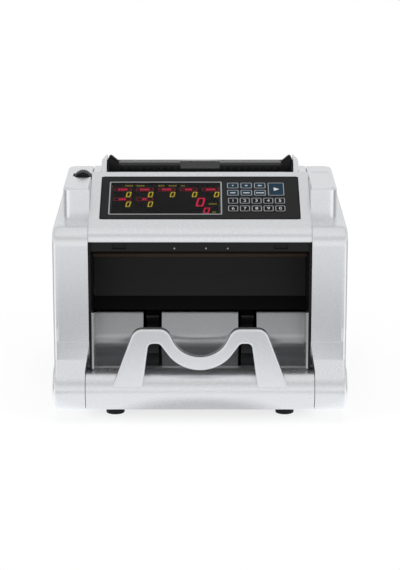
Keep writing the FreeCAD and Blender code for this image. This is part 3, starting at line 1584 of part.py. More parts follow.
def make_lamp_rail():
    """Black rail under the fascia with two bracket feet and two lens fields."""
    body = new_body("lamp_rail")
    front = f"({FASCIA} + lamp_setback)"
    rail = new_sketch(body, "YZ_Plane")
    draw_outline(
        rail,
        [
            (front, "beam_bottom - gap"),
            (f"{front} + lamp_deep", "beam_bottom - gap"),
            (f"{front} + lamp_deep", "beam_bottom - gap - lamp_high / 2"),
            (f"{front} + lamp_deep / 3", "beam_bottom - gap - lamp_high"),
            (front, "beam_bottom - gap - lamp_high"),
        ],
    )
    pad(body, rail, f"2 * ({FRAME_IN} - gap)", symmetric=True)
    lenses = new_sketch(body, "XZ_Plane", f"-{front}")
    for side in (-1, 1):
        x = f"({side} * lens_x)"
        draw_centred(lenses, x, "beam_bottom - gap - lamp_high / 2", "lens_width", "lamp_high / 2")
    pocket(body, lenses, "sheet")
    return body


keep(make_path_guides())
keep(make_note_sensors())
keep(make_lamp_rail())
antistatic = cylinder_x(
    "antistatic_bar", f"-{FRAME_IN}", FRAME_IN, "wire_bar_y", "wire_bar_z", "wire_bar_radius"
)
keep(named(antistatic, "antistatic_bar"))


# Driven shafts with their pulleys and rollers

LONG_END = f"({FRAME_OUT} + shaft_end)"
SHORT_END = f"({FRAME_OUT} + pin_end)"


def pulley(side, y, z, face):
    """A flanged pulley on the belt line of one side."""
    x0 = f"({side} * {BELT_X})" if side > 0 else f"(-{BELT_X} - pulley_width)"
    x1 = f"({x0} + pulley_width)"
    parts = [
        ring_x("pulley_face", x0, x1, y, z, face, "shaft_radius"),
        ring_x("pulley_flange", f"{x0} - pulley_flange", x0, y, z, f"{face} + pulley_lip", "shaft_radius"),
        ring_x("pulley_flange", x1, f"{x1} + pulley_flange", y, z, f"{face} + pulley_lip", "shaft_radius"),
    ]
    return parts


def make_shaft(label, y, z, pulleys):
    """A shaft through both frames; pulleys lists (side, face radius)."""
    sides = [side for side, _ in pulleys]
    left = f"-{LONG_END}" if -1 in sides else f"-{SHORT_END}"
    right = LONG_END if 1 in sides else SHORT_END
    parts = [cylinder_x("shaft_bar", left, right, y, z, "shaft_radius")]
    for side, face in pulleys:
        parts += pulley(side, y, z, face)
    return named(fuse(label, *parts), label)


def make_rollers(label, y, z, places, width, radius, bore):
    sleeves = [
        ring_x("sleeve", f"{x} - {width} / 2", f"{x} + {width} / 2", y, z, radius, bore) for x in places
    ]
    return group(label, sleeves)


INNER_PAIR = ("-feed_x", "feed_x")
TWO_PAIRS = INNER_PAIR + ("-transport_x", "transport_x")

keep(make_shaft("pickup_shaft", *SHAFTS["pickup"], [(1, "pickup_pulley")]))
keep(
    make_rollers(
        "pickup_rollers", *SHAFTS["pickup"], INNER_PAIR, "pickup_width", "pickup_radius", "shaft_radius"
    )
)
keep(make_shaft("feed_shaft", *SHAFTS["feed"], [(1, "feed_pulley")]))
keep(make_rollers("feed_rollers", *SHAFTS["feed"], INNER_PAIR, "feed_width", "feed_radius", "shaft_radius"))
keep(
    make_shaft(
        "transport_shaft", *SHAFTS["transport"], [(-1, "transport_pulley"), (1, "transport_pulley")]
    )
)
keep(
    make_rollers(
        "transport_rollers",
        *SHAFTS["transport"],
        TWO_PAIRS,
        "transport_width",
        "transport_radius",
        "shaft_radius",
    )
)
keep(make_shaft("stacker_shaft", *SHAFTS["stacker"], [(-1, "wheel_pulley")]))

motor_shaft = cylinder_x(
    "motor_shaft", f"-{LONG_END}", f"-{FRAME_IN} + motor_length / 4", "motor_y", "motor_z", "shaft_radius"
)
motor_drive = fuse("motor_drive", motor_shaft, *pulley(-1, "motor_y", "motor_z", "motor_pulley"))
keep(named(motor_drive, "motor_pulley_wheel"))

pinch_bar = cylinder_x("pinch_bar", f"-{SHORT_END}", SHORT_END, PINCH_Y, PINCH_Z, "pinch_axle")
keep(named(pinch_bar, "pinch_shaft"))
keep(
    make_rollers(
        "pinch_rollers", PINCH_Y, PINCH_Z, TWO_PAIRS, "transport_width", "pinch_radius", "pinch_axle"
    )
)


def make_bearings():
    rings = []
    bore = "shaft_radius + bore_gap"
    for y, z in SHAFTS.values():
        for x0 in (f"-{FRAME_OUT}", f"({FRAME_OUT} - bearing_width)"):
            rings.append(ring_x("bearing_ring", x0, f"{x0} + bearing_width", y, z, "bearing_radius", bore))
    return group("bearings", rings)


keep(make_bearings())


# Stacker wheels: a hub with curved vanes that catch the notes

VANES = 12


def vane_sweep(hub, bend, tip):
    """Angle along the vane's curve at which it reaches the tip radius."""
    low, high = 0.0, math.pi / 2
    for _ in range(60):
        angle = (low + high) / 2
        reach = hub**2 + 2 * hub * bend * math.sin(angle) + 2 * bend**2 * (1 - math.cos(angle))
        if reach < tip**2:
            low = angle
        else:
            high = angle
    return low


def vane_face():
    """One vane, flat in YZ around the shaft: it leaves the hub square and bends away."""
    hub, bend, tip = value("wheel_hub"), value("vane_bend"), value("wheel_radius")
    half = value("vane_thick") / 2
    sweep = vane_sweep(hub, bend, tip - half)
    root = -math.asin(min(1.0, 2 * half / bend))

    def at(radius, angle):
        return FreeCAD.Vector(0, hub + radius * math.sin(angle), bend - radius * math.cos(angle))

    middle = (root + sweep) / 2
    inner, outer = bend - half, bend + half
    edges = [
        Part.Arc(at(inner, root), at(inner, middle), at(inner, sweep)).toShape(),
        Part.Arc(at(inner, sweep), at(bend, sweep + half / bend), at(outer, sweep)).toShape(),
        Part.Arc(at(outer, sweep), at(outer, middle), at(outer, root)).toShape(),
        Part.makeLine(at(outer, root), at(inner, root)),
    ]
    return Part.Face(Part.Wire(edges))


def make_stacker_wheels():
    axis = FreeCAD.Vector(1, 0, 0)
    width = value("wheel_width")
    vane = vane_face().extrude(axis * width)
    vanes = [vane.copy() for _ in range(VANES)]
    for i, one in enumerate(vanes):
        one.rotate(FreeCAD.Vector(), axis, 360 * i / VANES)
    hub = Part.makeCylinder(value("wheel_hub"), width, FreeCAD.Vector(), axis)
    bore = Part.makeCylinder(value("shaft_radius"), width, FreeCAD.Vector(), axis)
    wheel = hub.multiFuse(vanes).cut(bore).removeSplitter()
    wheels = []
    for side in (-1, 1):
        one = wheel.copy()
        one.translate(FreeCAD.Vector(side * value("wheel_x") - width / 2, value("wheel_y"), value("wheel_z")))
        wheels.append(one)
    return fixed_shape("stacker_wheels", Part.makeCompound(wheels))


keep(make_stacker_wheels())


# Drive belts: loops around circles, kept off the pulley faces by the running gap

def tangent_normal(a, b):
    """Outward normal of the line that touches circles a and b on the right of the way from a to b."""
    along = FreeCAD.Vector(0, b[0] - a[0], b[1] - a[1])
    length = along.Length
    along.normalize()
    across = FreeCAD.Vector(0, along.z, -along.y)
    lean = (a[2] - b[2]) / length
    return along * lean + across * math.sqrt(1 - lean**2)


def loop_wire(circles):
    """A closed wire around circles (y, z, radius) given anticlockwise."""
    count = len(circles)
    normals = [tangent_normal(circles[i], circles[(i + 1) % count]) for i in range(count)]
    edges = []
    for i, (y, z, radius) in enumerate(circles):
        centre = FreeCAD.Vector(0, y, z)
        start = math.atan2(normals[i - 1].z, normals[i - 1].y)
        turn = (math.atan2(normals[i].z, normals[i].y) - start) % (2 * math.pi)

        def at(angle):
            return centre + FreeCAD.Vector(0, math.cos(angle), math.sin(angle)) * radius

        edges.append(Part.Arc(at(start), at(start + turn / 2), at(start + turn)).toShape())
        after = circles[(i + 1) % count]
        leave = FreeCAD.Vector(0, after[0], after[1]) + normals[i] * after[2]
        edges.append(Part.makeLine(at(start + turn), leave))
    return Part.Wire(edges)


def belt(side, pulleys):
    """A flat belt on one side around pulleys (y, z, face radius)."""
    gap = value("run_gap")
    inner = [(value(y), value(z), value(face) + gap) for y, z, face in pulleys]
    outer = [(y, z, radius + value("belt_thick")) for y, z, radius in inner]
    width = value("pulley_width") - 2 * gap
    start = value(BELT_X) + gap
    loop = Part.Face(loop_wire(outer)).cut(Part.Face(loop_wire(inner)))
    solid = loop.extrude(FreeCAD.Vector(side * width, 0, 0))
    solid.translate(FreeCAD.Vector(side * start, 0, 0))
    return solid


def make_drive_belts():
    left = belt(
        -1,
        [
            ("motor_y", "motor_z", "motor_pulley"),
            (*SHAFTS["transport"], "transport_pulley"),
            (*SHAFTS["stacker"], "wheel_pulley"),
        ],
    )
    right = belt(
        1,
        [
            (*SHAFTS["transport"], "transport_pulley"),
            (*SHAFTS["feed"], "feed_pulley"),
            (*SHAFTS["pickup"], "pickup_pulley"),
        ],
    )
    return fixed_shape("drive_belts", Part.makeCompound(left.Solids + right.Solids))


keep(make_drive_belts())


# Thickness adjustment: a thumb wheel, its half nut on a link, and the retard axle

def knob_sketch(body):
    """A sketch across the adjusting wheel, with its origin on the wheel's axis."""
    sketch = new_sketch(body, "XZ_Plane", "-knob_y")
    bind(sketch, AttachmentOffset__Base__x="knob_x", AttachmentOffset__Base__y=KNOB_Z)
    return sketch


def make_adjust_wheel():
    """A barrel with grip grooves all round and a spindle to the back."""
    body = new_body("adjust_wheel")
    pad(body, draw_circle(knob_sketch(body), "0", "0", "knob_radius"), "knob_width", symmetric=True)
    groove = draw_circle(knob_sketch(body), "0", "knob_radius", "knob_groove")
    cutter = pocket(body, groove, "2 * knob_width", symmetric=True)
    around = body.newObject("PartDesign::PolarPattern", "grip")
    around.Originals = [cutter]
    around.Axis = (groove, ["N_Axis"])
    around.Occurrences = 30
    body.Tip = around
    doc.recompute()
    spindle = draw_circle(knob_sketch(body), "0", "0", "spindle_radius")
    pad(body, spindle, "knob_width / 2 + spindle_end", reverse=True)
    return body


def make_retard_carriage():
    """Axle through the slots of both frames and a link up to the half nut under the spindle."""
    axle = cylinder_x(
        "retard_bar", "knob_x - link_thick / 2", SHORT_END, RETARD_Y, "feed_z", "retard_axle"
    )
    body = new_body("retard_link")
    nut_front = "(knob_y + knob_width / 2 + nut_gap)"
    under_knob = f"({KNOB_Z} - knob_radius - link_clear)"
    link = new_sketch(body, "YZ_Plane", "knob_x")
    draw_outline(
        link,
        [
            (f"{RETARD_Y} - link_half", "feed_z - link_half - slot_room"),
            (f"{RETARD_Y} + link_half", "feed_z - link_half - slot_room"),
            (f"{RETARD_Y} + link_half", f"{under_knob} - 3 * link_half"),
            (f"{nut_front} + 2 * link_half", f"{under_knob} - link_half"),
            (f"{nut_front} + 2 * link_half", KNOB_Z),
            (nut_front, KNOB_Z),
            (nut_front, under_knob),
            (f"{RETARD_Y} - link_half", f"{under_knob} - 2 * link_half"),
        ],
    )
    pad(body, link, "link_thick", symmetric=True)
    nut = draw_circle(knob_sketch(body), "0", "0", "spindle_radius + run_gap")
    pocket(body, nut, "4 * spindle_end", symmetric=True)
    return named(fuse("retard_carriage", axle, body), "retard_carriage")


keep(make_adjust_wheel())
keep(make_retard_carriage())
keep(
    make_rollers(
        "retard_rollers", RETARD_Y, "feed_z", INNER_PAIR, "feed_width", "retard_radius", "retard_axle"
    )
)


# Every piece is checked before any file is written

def check_pieces():
    doc.recompute()
    for thing in doc.Objects:
        if "Invalid" in thing.State or "Error" in thing.State:
            raise RuntimeError(f"{thing.Label} did not build")
    for node in nodes:
        if node.Shape.isNull() or not node.Shape.isValid() or not node.Shape.Solids:
            raise RuntimeError(f"{node.Label} has no valid solid")


def write_pieces():
    os.makedirs("parts", exist_ok=True)
    for node in nodes:
        node.Shape.exportStep(f"parts/{node.Label}.step")


check_pieces()
write_pieces()
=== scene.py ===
"""Looks for the banknote counting machine: materials, printed and lit details, studio and camera."""
import json
import math

import bmesh
import bpy
from mathutils import Matrix, Vector

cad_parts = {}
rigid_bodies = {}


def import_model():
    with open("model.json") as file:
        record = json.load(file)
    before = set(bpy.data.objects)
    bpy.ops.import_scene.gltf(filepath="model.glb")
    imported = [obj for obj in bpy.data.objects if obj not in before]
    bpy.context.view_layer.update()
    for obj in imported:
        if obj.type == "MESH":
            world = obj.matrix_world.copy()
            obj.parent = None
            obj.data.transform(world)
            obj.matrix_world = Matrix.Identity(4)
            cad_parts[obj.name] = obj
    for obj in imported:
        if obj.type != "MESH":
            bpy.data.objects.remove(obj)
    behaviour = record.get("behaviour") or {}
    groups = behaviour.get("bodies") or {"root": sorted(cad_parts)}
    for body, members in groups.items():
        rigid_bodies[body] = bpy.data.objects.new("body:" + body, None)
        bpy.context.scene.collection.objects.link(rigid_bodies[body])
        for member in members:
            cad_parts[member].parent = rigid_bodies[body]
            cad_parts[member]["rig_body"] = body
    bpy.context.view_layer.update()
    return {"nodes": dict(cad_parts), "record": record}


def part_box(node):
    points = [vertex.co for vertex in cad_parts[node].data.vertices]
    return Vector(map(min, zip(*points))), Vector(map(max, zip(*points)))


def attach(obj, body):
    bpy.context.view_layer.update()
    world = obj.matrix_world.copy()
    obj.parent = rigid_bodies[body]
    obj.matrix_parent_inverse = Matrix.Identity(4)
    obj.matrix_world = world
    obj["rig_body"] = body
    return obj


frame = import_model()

NODES = frame["nodes"]
MM = 0.001


# Materials

GRAIN_ENDS = (0.3, 0.7)  # where the noise reaches a material's darker and lighter colour
GLOSS_SPREAD = 0.1
BUMP_DEPTH = 0.2 * MM


def new_material(name):
    """A Principled material and the pieces needed to build on it."""
    material = bpy.data.materials.new(name)
    material.use_nodes = True
    tree = material.node_tree
    return material, tree, tree.nodes["Principled BSDF"]


def add_noise(tree, scale, detail=3.0):
    """Noise in object space, so it stays on the piece."""
    place = tree.nodes.new("ShaderNodeTexCoord")
    noise = tree.nodes.new("ShaderNodeTexNoise")
    noise.inputs["Scale"].default_value = scale
    noise.inputs["Detail"].default_value = detail
    tree.links.new(place.outputs["Object"], noise.inputs["Vector"])
    return noise


def vary(tree, noise, socket, low, high):
    """Lets a noise move a colour or a number between low and high."""
    if isinstance(low, tuple):
        ramp = tree.nodes.new("ShaderNodeValToRGB")
        for mark, place, colour in zip(ramp.color_ramp.elements, GRAIN_ENDS, (low, high)):
            mark.position = place
            mark.color = (*colour, 1)
        tree.links.new(noise.outputs["Fac"], ramp.inputs["Fac"])
        tree.links.new(ramp.outputs["Color"], socket)
        return
    spread = tree.nodes.new("ShaderNodeMapRange")
    spread.inputs["To Min"].default_value = low
    spread.inputs["To Max"].default_value = high
    tree.links.new(noise.outputs["Fac"], spread.inputs["Value"])
    tree.links.new(spread.outputs["Result"], socket)


def roughen(tree, shader, noise, strength):
    """A fine bump from a noise."""
    bump = tree.nodes.new("ShaderNodeBump")
    bump.inputs["Strength"].default_value = strength
    bump.inputs["Distance"].default_value = BUMP_DEPTH
    tree.links.new(noise.outputs["Fac"], bump.inputs["Height"])
    tree.links.new(bump.outputs["Normal"], shader.inputs["Normal"])


def surface(name, colour, roughness, metallic=0.0, grain=900.0, spread=0.12, bump=0.05, shine=0.5):
    """A surface whose colour and gloss vary a little over a fine grain."""
    material, tree, shader = new_material(name)
    shader.inputs["Metallic"].default_value = metallic
    shader.inputs["Specular IOR Level"].default_value = shine
    noise = add_noise(tree, grain)
    low = tuple(c * (1 - spread) for c in colour)
    high = tuple(min(1.0, c * (1 + spread)) for c in colour)
    vary(tree, noise, shader.inputs["Base Color"], low, high)
    gloss = shader.inputs["Roughness"]
    vary(tree, noise, gloss, roughness * (1 - GLOSS_SPREAD), roughness * (1 + GLOSS_SPREAD))
    roughen(tree, shader, noise, bump)
    return material


def smoked_glass():
    """Thin dark glass that shows what lies under it."""
    material, tree, shader = new_material("smoked_window")
    shader.inputs["Alpha"].default_value = 0.4
    shader.inputs["Specular IOR Level"].default_value = 0.12
    noise = add_noise(tree, 60.0)
    vary(tree, noise, shader.inputs["Base Color"], (0.003, 0.003, 0.0032), (0.006, 0.006, 0.0064))
    vary(tree, noise, shader.inputs["Roughness"], 0.05, 0.09)
    return material


def lit(name, colour, strength):
    """A lit segment."""
    material, tree, shader = new_material(name)
    noise = add_noise(tree, 300.0)
    dim = tuple(c * 0.85 for c in colour)
    vary(tree, noise, shader.inputs["Base Color"], dim, colour)
    vary(tree, noise, shader.inputs["Emission Color"], dim, colour)
    shader.inputs["Emission Strength"].default_value = strength
    shader.inputs["Roughness"].default_value = 0.6
    return material


PRINT_INK = {"grain": 1500.0, "bump": 0.01, "shine": 0.3}

SILVER = surface(
    "silver_paint", (0.80, 0.81, 0.83), 0.27, metallic=0.85, grain=2600.0, spread=0.04, bump=0.02
)
TRAY = surface("tray_grey", (0.50, 0.51, 0.52), 0.25, metallic=0.5, grain=500.0, spread=0.04)
BLACK = surface("black_plastic", (0.006, 0.006, 0.0065), 0.45, grain=1800.0, bump=0.1, shine=0.25)
BLACK_STEEL = surface("black_steel", (0.006, 0.006, 0.0065), 0.35, grain=900.0, shine=0.2)
PANEL = surface("panel_film", (0.012, 0.012, 0.0125), 0.5, grain=2200.0, bump=0.04, shine=0.12)
BOARD = surface("board_resist", (0.03, 0.16, 0.07), 0.4, grain=250.0)
KEY_BLACK = surface("key_black", (0.005, 0.005, 0.006), 0.5, grain=1500.0, bump=0.01, shine=0.08)
KEY_BLUE = surface("key_blue", (0.009, 0.030, 0.052), 0.5, grain=1500.0, shine=0.12)
ROCKER = surface("rocker_black", (0.01, 0.01, 0.01), 0.25, grain=600.0)
RUBBER = surface("rubber", (0.012, 0.012, 0.012), 0.75, grain=1200.0, bump=0.2, shine=0.3)
ROLLER = surface("roller_rubber", (0.06, 0.055, 0.05), 0.7, grain=900.0, bump=0.2, shine=0.3)
STEEL = surface("steel", (0.55, 0.55, 0.56), 0.3, metallic=1.0, grain=700.0, spread=0.06)
MOTOR = surface("motor_zinc", (0.42, 0.43, 0.44), 0.4, metallic=0.9, grain=400.0)
BRONZE = surface("bronze_bristle", (0.05, 0.033, 0.022), 0.6, grain=1600.0, bump=0.3, shine=0.2)
VANES = surface("vane_plastic", (0.03, 0.031, 0.033), 0.45, grain=1200.0, shine=0.3)
PRINT_GREY = surface("print_grey", (0.33, 0.34, 0.35), 0.5, spread=0.05, **PRINT_INK)
PRINT_WHITE = surface("print_white", (0.66, 0.67, 0.68), 0.5, spread=0.04, **PRINT_INK)
GLOSS_BLACK = surface("gloss_black", (0.006, 0.006, 0.0065), 0.3, grain=1800.0, bump=0.02, shine=0.6)
WINDOW = smoked_glass()
RED = lit("lit_red", (0.85, 0.012, 0.075), 1.5)
DIM_RED = lit("lit_dim_red", (0.40, 0.006, 0.045), 0.9)
YELLOW = lit("lit_yellow", (0.80, 0.62, 0.03), 1.6)
DIM_YELLOW = lit("lit_dim", (0.34, 0.30, 0.02), 1.1)

SLOT_MATERIALS = {
    "silver_plastic": SILVER,
    "tray_grey": TRAY,
    "black_plastic": BLACK,
    "panel_black": PANEL,
    "smoked_window": WINDOW,
    "board_green": BOARD,
    "key_black": KEY_BLACK,
    "key_blue": KEY_BLUE,
    "rocker_black": ROCKER,
    "foot_rubber": RUBBER,
    "roller_rubber": ROLLER,
    "belt_rubber": RUBBER,
    "steel": STEEL,
    "black_steel": BLACK_STEEL,
    "motor_steel": MOTOR,
    "bronze": BRONZE,
    "vane_plastic": VANES,
}
NODE_MATERIALS = {"hopper_plate": GLOSS_BLACK}  # glossier than the rest of its slot


def dress_nodes():
    """Gives every CAD node its own material, or else that of its slot."""
    for part in frame["record"]["subparts"]:
        node = NODES[part["node"]]
        node.data.materials.clear()
        node.data.materials.append(NODE_MATERIALS.get(part["node"], SLOT_MATERIALS[part["material_slot"]]))


dress_nodes()


# Building small pieces

FEW_STEPS = 2  # points in a corner too small to show its round


def in_mm(values):
    return [value * MM for value in values]


def body_of_node(name):
    return NODES[name]["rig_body"]


def add_piece(name, mesh, material, body):
    """A finished mesh as a piece that moves with a CAD body."""
    piece = bpy.data.objects.new(name, mesh)
    bpy.context.scene.collection.objects.link(piece)
    mesh.materials.append(material)
    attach(piece, body)


def loops_to_mesh(name, loops, height, place):
    """Flat closed outlines (each a list of rings, the first outside) raised by height and put in place."""
    form = bmesh.new()
    for rings in loops:
        lines = []
        for ring in rings:
            points = [form.verts.new((x, y, 0)) for x, y in ring]
            lines += [form.edges.new((points[i - 1], points[i])) for i in range(len(points))]
        filled = bmesh.ops.triangle_fill(form, use_beauty=True, edges=lines)
        faces = [f for f in filled["geom"] if isinstance(f, bmesh.types.BMFace)]
        raised = bmesh.ops.extrude_face_region(form, geom=faces)
        top = [v for v in raised["geom"] if isinstance(v, bmesh.types.BMVert)]
        bmesh.ops.translate(form, verts=top, vec=(0, 0, height))
    bmesh.ops.recalc_face_normals(form, faces=form.faces)
    bmesh.ops.transform(form, matrix=place, verts=form.verts)
    mesh = bpy.data.meshes.new(name)
    form.to_mesh(mesh)
    form.free()
    return mesh


def joined(name, meshes):
    """Several meshes as one."""
    form = bmesh.new()
    for mesh in meshes:
        form.from_mesh(mesh)
        bpy.data.meshes.remove(mesh)
    whole = bpy.data.meshes.new(name)
    form.to_mesh(whole)
    form.free()
    return whole


def around(x, y, half_x, half_y):
    """The bounds of a rectangle, from its centre and half sizes."""
    return x - half_x, y - half_y, x + half_x, y + half_y


def rounded_box(x0, y0, x1, y1, radius, steps=5):
    """Points of a rectangle with round corners."""
    points = []
    corners = ((x1, y1, 0), (x0, y1, 90), (x0, y0, 180), (x1, y0, 270))
    for x, y, start in corners:
        cx = x - radius if x == x1 else x + radius
        cy = y - radius if y == y1 else y + radius
        for i in range(steps + 1):
            angle = math.radians(start + 90 * i / steps)
            points.append((cx + radius * math.cos(angle), cy + radius * math.sin(angle)))
    return points


def outline_ring(x0, y0, x1, y1, radius, line):
    """A drawn line around a rectangle: the outer ring and the inner one."""
    inner = rounded_box(x0 + line, y0 + line, x1 - line, y1 - line, max(radius - line, line / 4))
    return [rounded_box(x0, y0, x1, y1, radius), inner]


def bar_row(x, y, count, step, half_size, corner):
    """A row of upright bars, centred on x and y."""
    places = [x + (i - (count - 1) / 2) * step for i in range(count)]
    return [[rounded_box(*around(place, y, *half_size), corner, FEW_STEPS)] for place in places]


def text_mesh(name, words, size, height, place):
    """Lettering as a mesh, centred on its place."""
    curve = bpy.data.curves.new(name, "FONT")
    curve.body = words
    curve.size = size
    curve.align_x = "CENTER"
    curve.align_y = "CENTER"
    curve.extrude = height / 2
    curve.resolution_u = 3
    holder = bpy.data.objects.new(name, curve)
    bpy.context.scene.collection.objects.link(holder)
    depsgraph = bpy.context.evaluated_depsgraph_get()
    mesh = bpy.data.meshes.new_from_object(holder.evaluated_get(depsgraph))
    bpy.data.objects.remove(holder)
    bpy.data.curves.remove(curve)
    mesh.transform(place)
    return mesh


# The sloped panel's own frame: x across, y up the slope, z out of the panel

SLOPE = math.radians(21.3)
PANEL_THICK = 1.7 * MM
UP_SLOPE = Vector((0, math.cos(SLOPE), math.sin(SLOPE)))
OUT = Vector((0, -math.sin(SLOPE), math.cos(SLOPE)))
PANEL_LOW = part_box("panel_fascia")[0]
PANEL_ORIGIN = Vector((0, PANEL_LOW.y, PANEL_LOW.z + PANEL_THICK * math.cos(SLOPE)))
PRINT = 0.03 * MM


def on_panel(x, y, height=0.0):
    """The matrix of a place on the panel's top face."""
    turn = Matrix((Vector((1, 0, 0)), UP_SLOPE, OUT)).transposed().to_4x4()
    turn.translation = PANEL_ORIGIN + Vector((x, 0, 0)) + UP_SLOPE * y + OUT * height
    return turn


def panel_place(name):
    """Centre, half sizes and top of a panel node, in the panel's frame."""
    corners = [v.co - PANEL_ORIGIN for v in NODES[name].data.vertices]
    spans = [c.x for c in corners], [c.dot(UP_SLOPE) for c in corners]
    middle = [(min(span) + max(span)) / 2 for span in spans]
    half = [(max(span) - min(span)) / 2 for span in spans]
    return *middle, *half, max(c.dot(OUT) for c in corners)


# Printed lines and key legends

WINDOW_LINE = 1.3 * MM
WINDOW_CORNER = 1.2 * MM
EDGE_LINE = 1.1 * MM
PANEL_CORNER = 3 * MM
KEY_LINE = 0.75 * MM
KEY_CORNER = 1.2 * MM
KEY_LINE_INSET = 0.7 * MM  # from the key's flange
DIGIT_SIZE = 6.2 * MM
ARROW = ((-2.2, -3), (3.2, 0), (-2.2, 3))
LEGEND_STEP = 1.25 * MM
LEGEND_HALF = (0.5 * MM, 0.9 * MM)
LEGEND_CORNER = 0.2 * MM
KEY_NODES = sorted(name for name in NODES if name.startswith("key_"))


def print_panel_lines():
    """A grey line around the window and a black edge line around the panel."""
    for name, node, corner, line, material in (
        ("window_line", "display_window", WINDOW_CORNER, WINDOW_LINE, PRINT_GREY),
        ("panel_line", "panel_fascia", PANEL_CORNER, EDGE_LINE, KEY_BLACK),
    ):
        ring = outline_ring(*around(*panel_place(node)[:4]), corner, line)
        mesh = loops_to_mesh(name, [ring], PRINT, on_panel(0, 0))
        add_piece(name, mesh, material, "chassis")


def print_keys():
    """A grey line around each key's top, and its legend."""
    for name in KEY_NODES:
        x, y, half_x, half_y, top = panel_place(name)
        body = body_of_node(name)
        bounds = around(0, 0, half_x - KEY_LINE_INSET, half_y - KEY_LINE_INSET)
        ring = outline_ring(*bounds, KEY_CORNER, KEY_LINE)
        mesh = loops_to_mesh(name + "_line", [ring], PRINT, on_panel(x, y, top))
        add_piece(name + "_line", mesh, PRINT_GREY, body)
        print_legend(name, x, y, top, body)


def print_legend(name, x, y, top, body):
    """Numbers on the digit keys, plain marks on the others."""
    kind, _, which = name.removeprefix("key_").partition("_")
    label = name + "_mark"
    if kind == "digit":
        mesh = text_mesh(label, which, DIGIT_SIZE, PRINT, on_panel(x, y, top + PRINT / 2))
    else:
        if kind == "start":
            loops = [[[in_mm(point) for point in ARROW]]]
        else:
            loops = bar_row(0, 0, int(which), LEGEND_STEP, LEGEND_HALF, LEGEND_CORNER)
        mesh = loops_to_mesh(label, loops, PRINT, on_panel(x, y, top))
    add_piece(label, mesh, PRINT_WHITE, body)


print_panel_lines()
print_keys()


# Lit digits behind the window

WINDOW_GAP = 1.05 * MM
MASK_THICK = 0.4 * MM
MASK_CORNER = 0.5 * MM
FACE_INSET = 2.8 * MM
BLOCK_INSET = 7.6 * MM
MODULE_X = (-80 * MM, 16 * MM)  # field of the digit modules, across and up the panel
MODULE_Y = (10 * MM, 62 * MM)
DIGIT_LEAN = 0.16
SEGMENT_GAP = 0.18  # share of the stroke
TAG_WIDTH = 16.5 * MM
TAG_HEIGHT = 5.4 * MM
TAG_LEFT = -82.5 * MM
TAG_PITCH = 21.1 * MM
TAG_CORNER = 1.2 * MM
TAG_LINE = 0.6 * MM
TAG_ROWS = ((48.2 * MM, (4, 4, 4, 3, 4)), (31.6 * MM, (3, 2)))  # height, bars in each tag
TAG_BAR_STEP = 2.3 * MM
TAG_BAR_HALF = (0.85 * MM, 1.4 * MM)
DOT_CORNER = 0.3 * MM
# Noughts in millimetres: lower left corner, width, height and stroke
SMALL_NOUGHT = (11.2, -10.2, 4.4, 8.6, 0.9)  # from its tag
COUNT_NOUGHTS = ((-4.5, 22, 7.6, 14.5, 1.8), (2.6, 10.4, 5.8, 9.6, 1.4))
# Dotted marks in millimetres: lower left corner and length
TOP_MARKS = tuple((x, 56.2, length) for x, length in ((-72, 8), (-61, 9), (-40, 6), (-30, 7.5), (-18, 4.5)))
COUNT_MARKS = ((8.6, 25, 7.5), (11.8, 11, 3))
DOT_STEP = 2.0 * MM
DOT_SIZE = (1.3 * MM, 2.4 * MM)


def zero_segments(x, y, width, height, stroke):
    """The six lit segments of a nought, leaning to the right, with its lower left corner at x, y."""
    gap = stroke * SEGMENT_GAP

    def bar(x0, y0, x1, y1):
        return [[(px + DIGIT_LEAN * (py - y), py) for px, py in ((x0, y0), (x1, y0), (x1, y1), (x0, y1))]]

    middle = y + height / 2
    left, right, top = x, x + width, y + height
    return [
        bar(left + gap, y, right - gap, y + stroke),
        bar(left + gap, top - stroke, right - gap, top),
        bar(left, y + stroke + gap, left + stroke, middle - gap / 2),
        bar(left, middle + gap / 2, left + stroke, top - stroke - gap),
        bar(right - stroke, y + stroke + gap, right, middle - gap / 2),
        bar(right - stroke, middle + gap / 2, right, top - stroke - gap),
    ]


def dots(x, y, length):
    """A short dotted mark, with its lower left corner at x, y."""
    width, height = DOT_SIZE
    starts = [x + i * DOT_STEP for i in range(max(1, round(length / DOT_STEP)))]
    return [[rounded_box(start, y, start + width, y + height, DOT_CORNER, FEW_STEPS)] for start in starts]


def light_display():
    """Rows of lit tags with small noughts under them, and the two count noughts at the right."""
    tags, fills, small = [], [], []
    shift_x, shift_y, *nought = in_mm(SMALL_NOUGHT)
    for y, bar_counts in TAG_ROWS:
        for i, count in enumerate(bar_counts):
            x = TAG_LEFT + i * TAG_PITCH
            tags.append(outline_ring(x, y, x + TAG_WIDTH, y + TAG_HEIGHT, TAG_CORNER, TAG_LINE))
            centre = (x + TAG_WIDTH / 2, y + TAG_HEIGHT / 2)
            fills += bar_row(*centre, count, TAG_BAR_STEP, TAG_BAR_HALF, DOT_CORNER)
            small += zero_segments(x + shift_x, y + shift_y, *nought)
    large = [bar for form in COUNT_NOUGHTS for bar in zero_segments(*in_mm(form))]
    marks = [dot for mark in TOP_MARKS + COUNT_MARKS for dot in dots(*in_mm(mark))]
    for name, loops, material in (
        ("lit_tags", tags, DIM_RED),
        ("lit_counts", fills + large, RED),
        ("lit_small", small, YELLOW),
        ("lit_marks", marks, DIM_YELLOW),
    ):
        mesh = loops_to_mesh(name, loops, PRINT, on_panel(0, 0, -WINDOW_GAP - PRINT))
        add_piece(name, mesh, material, "chassis")


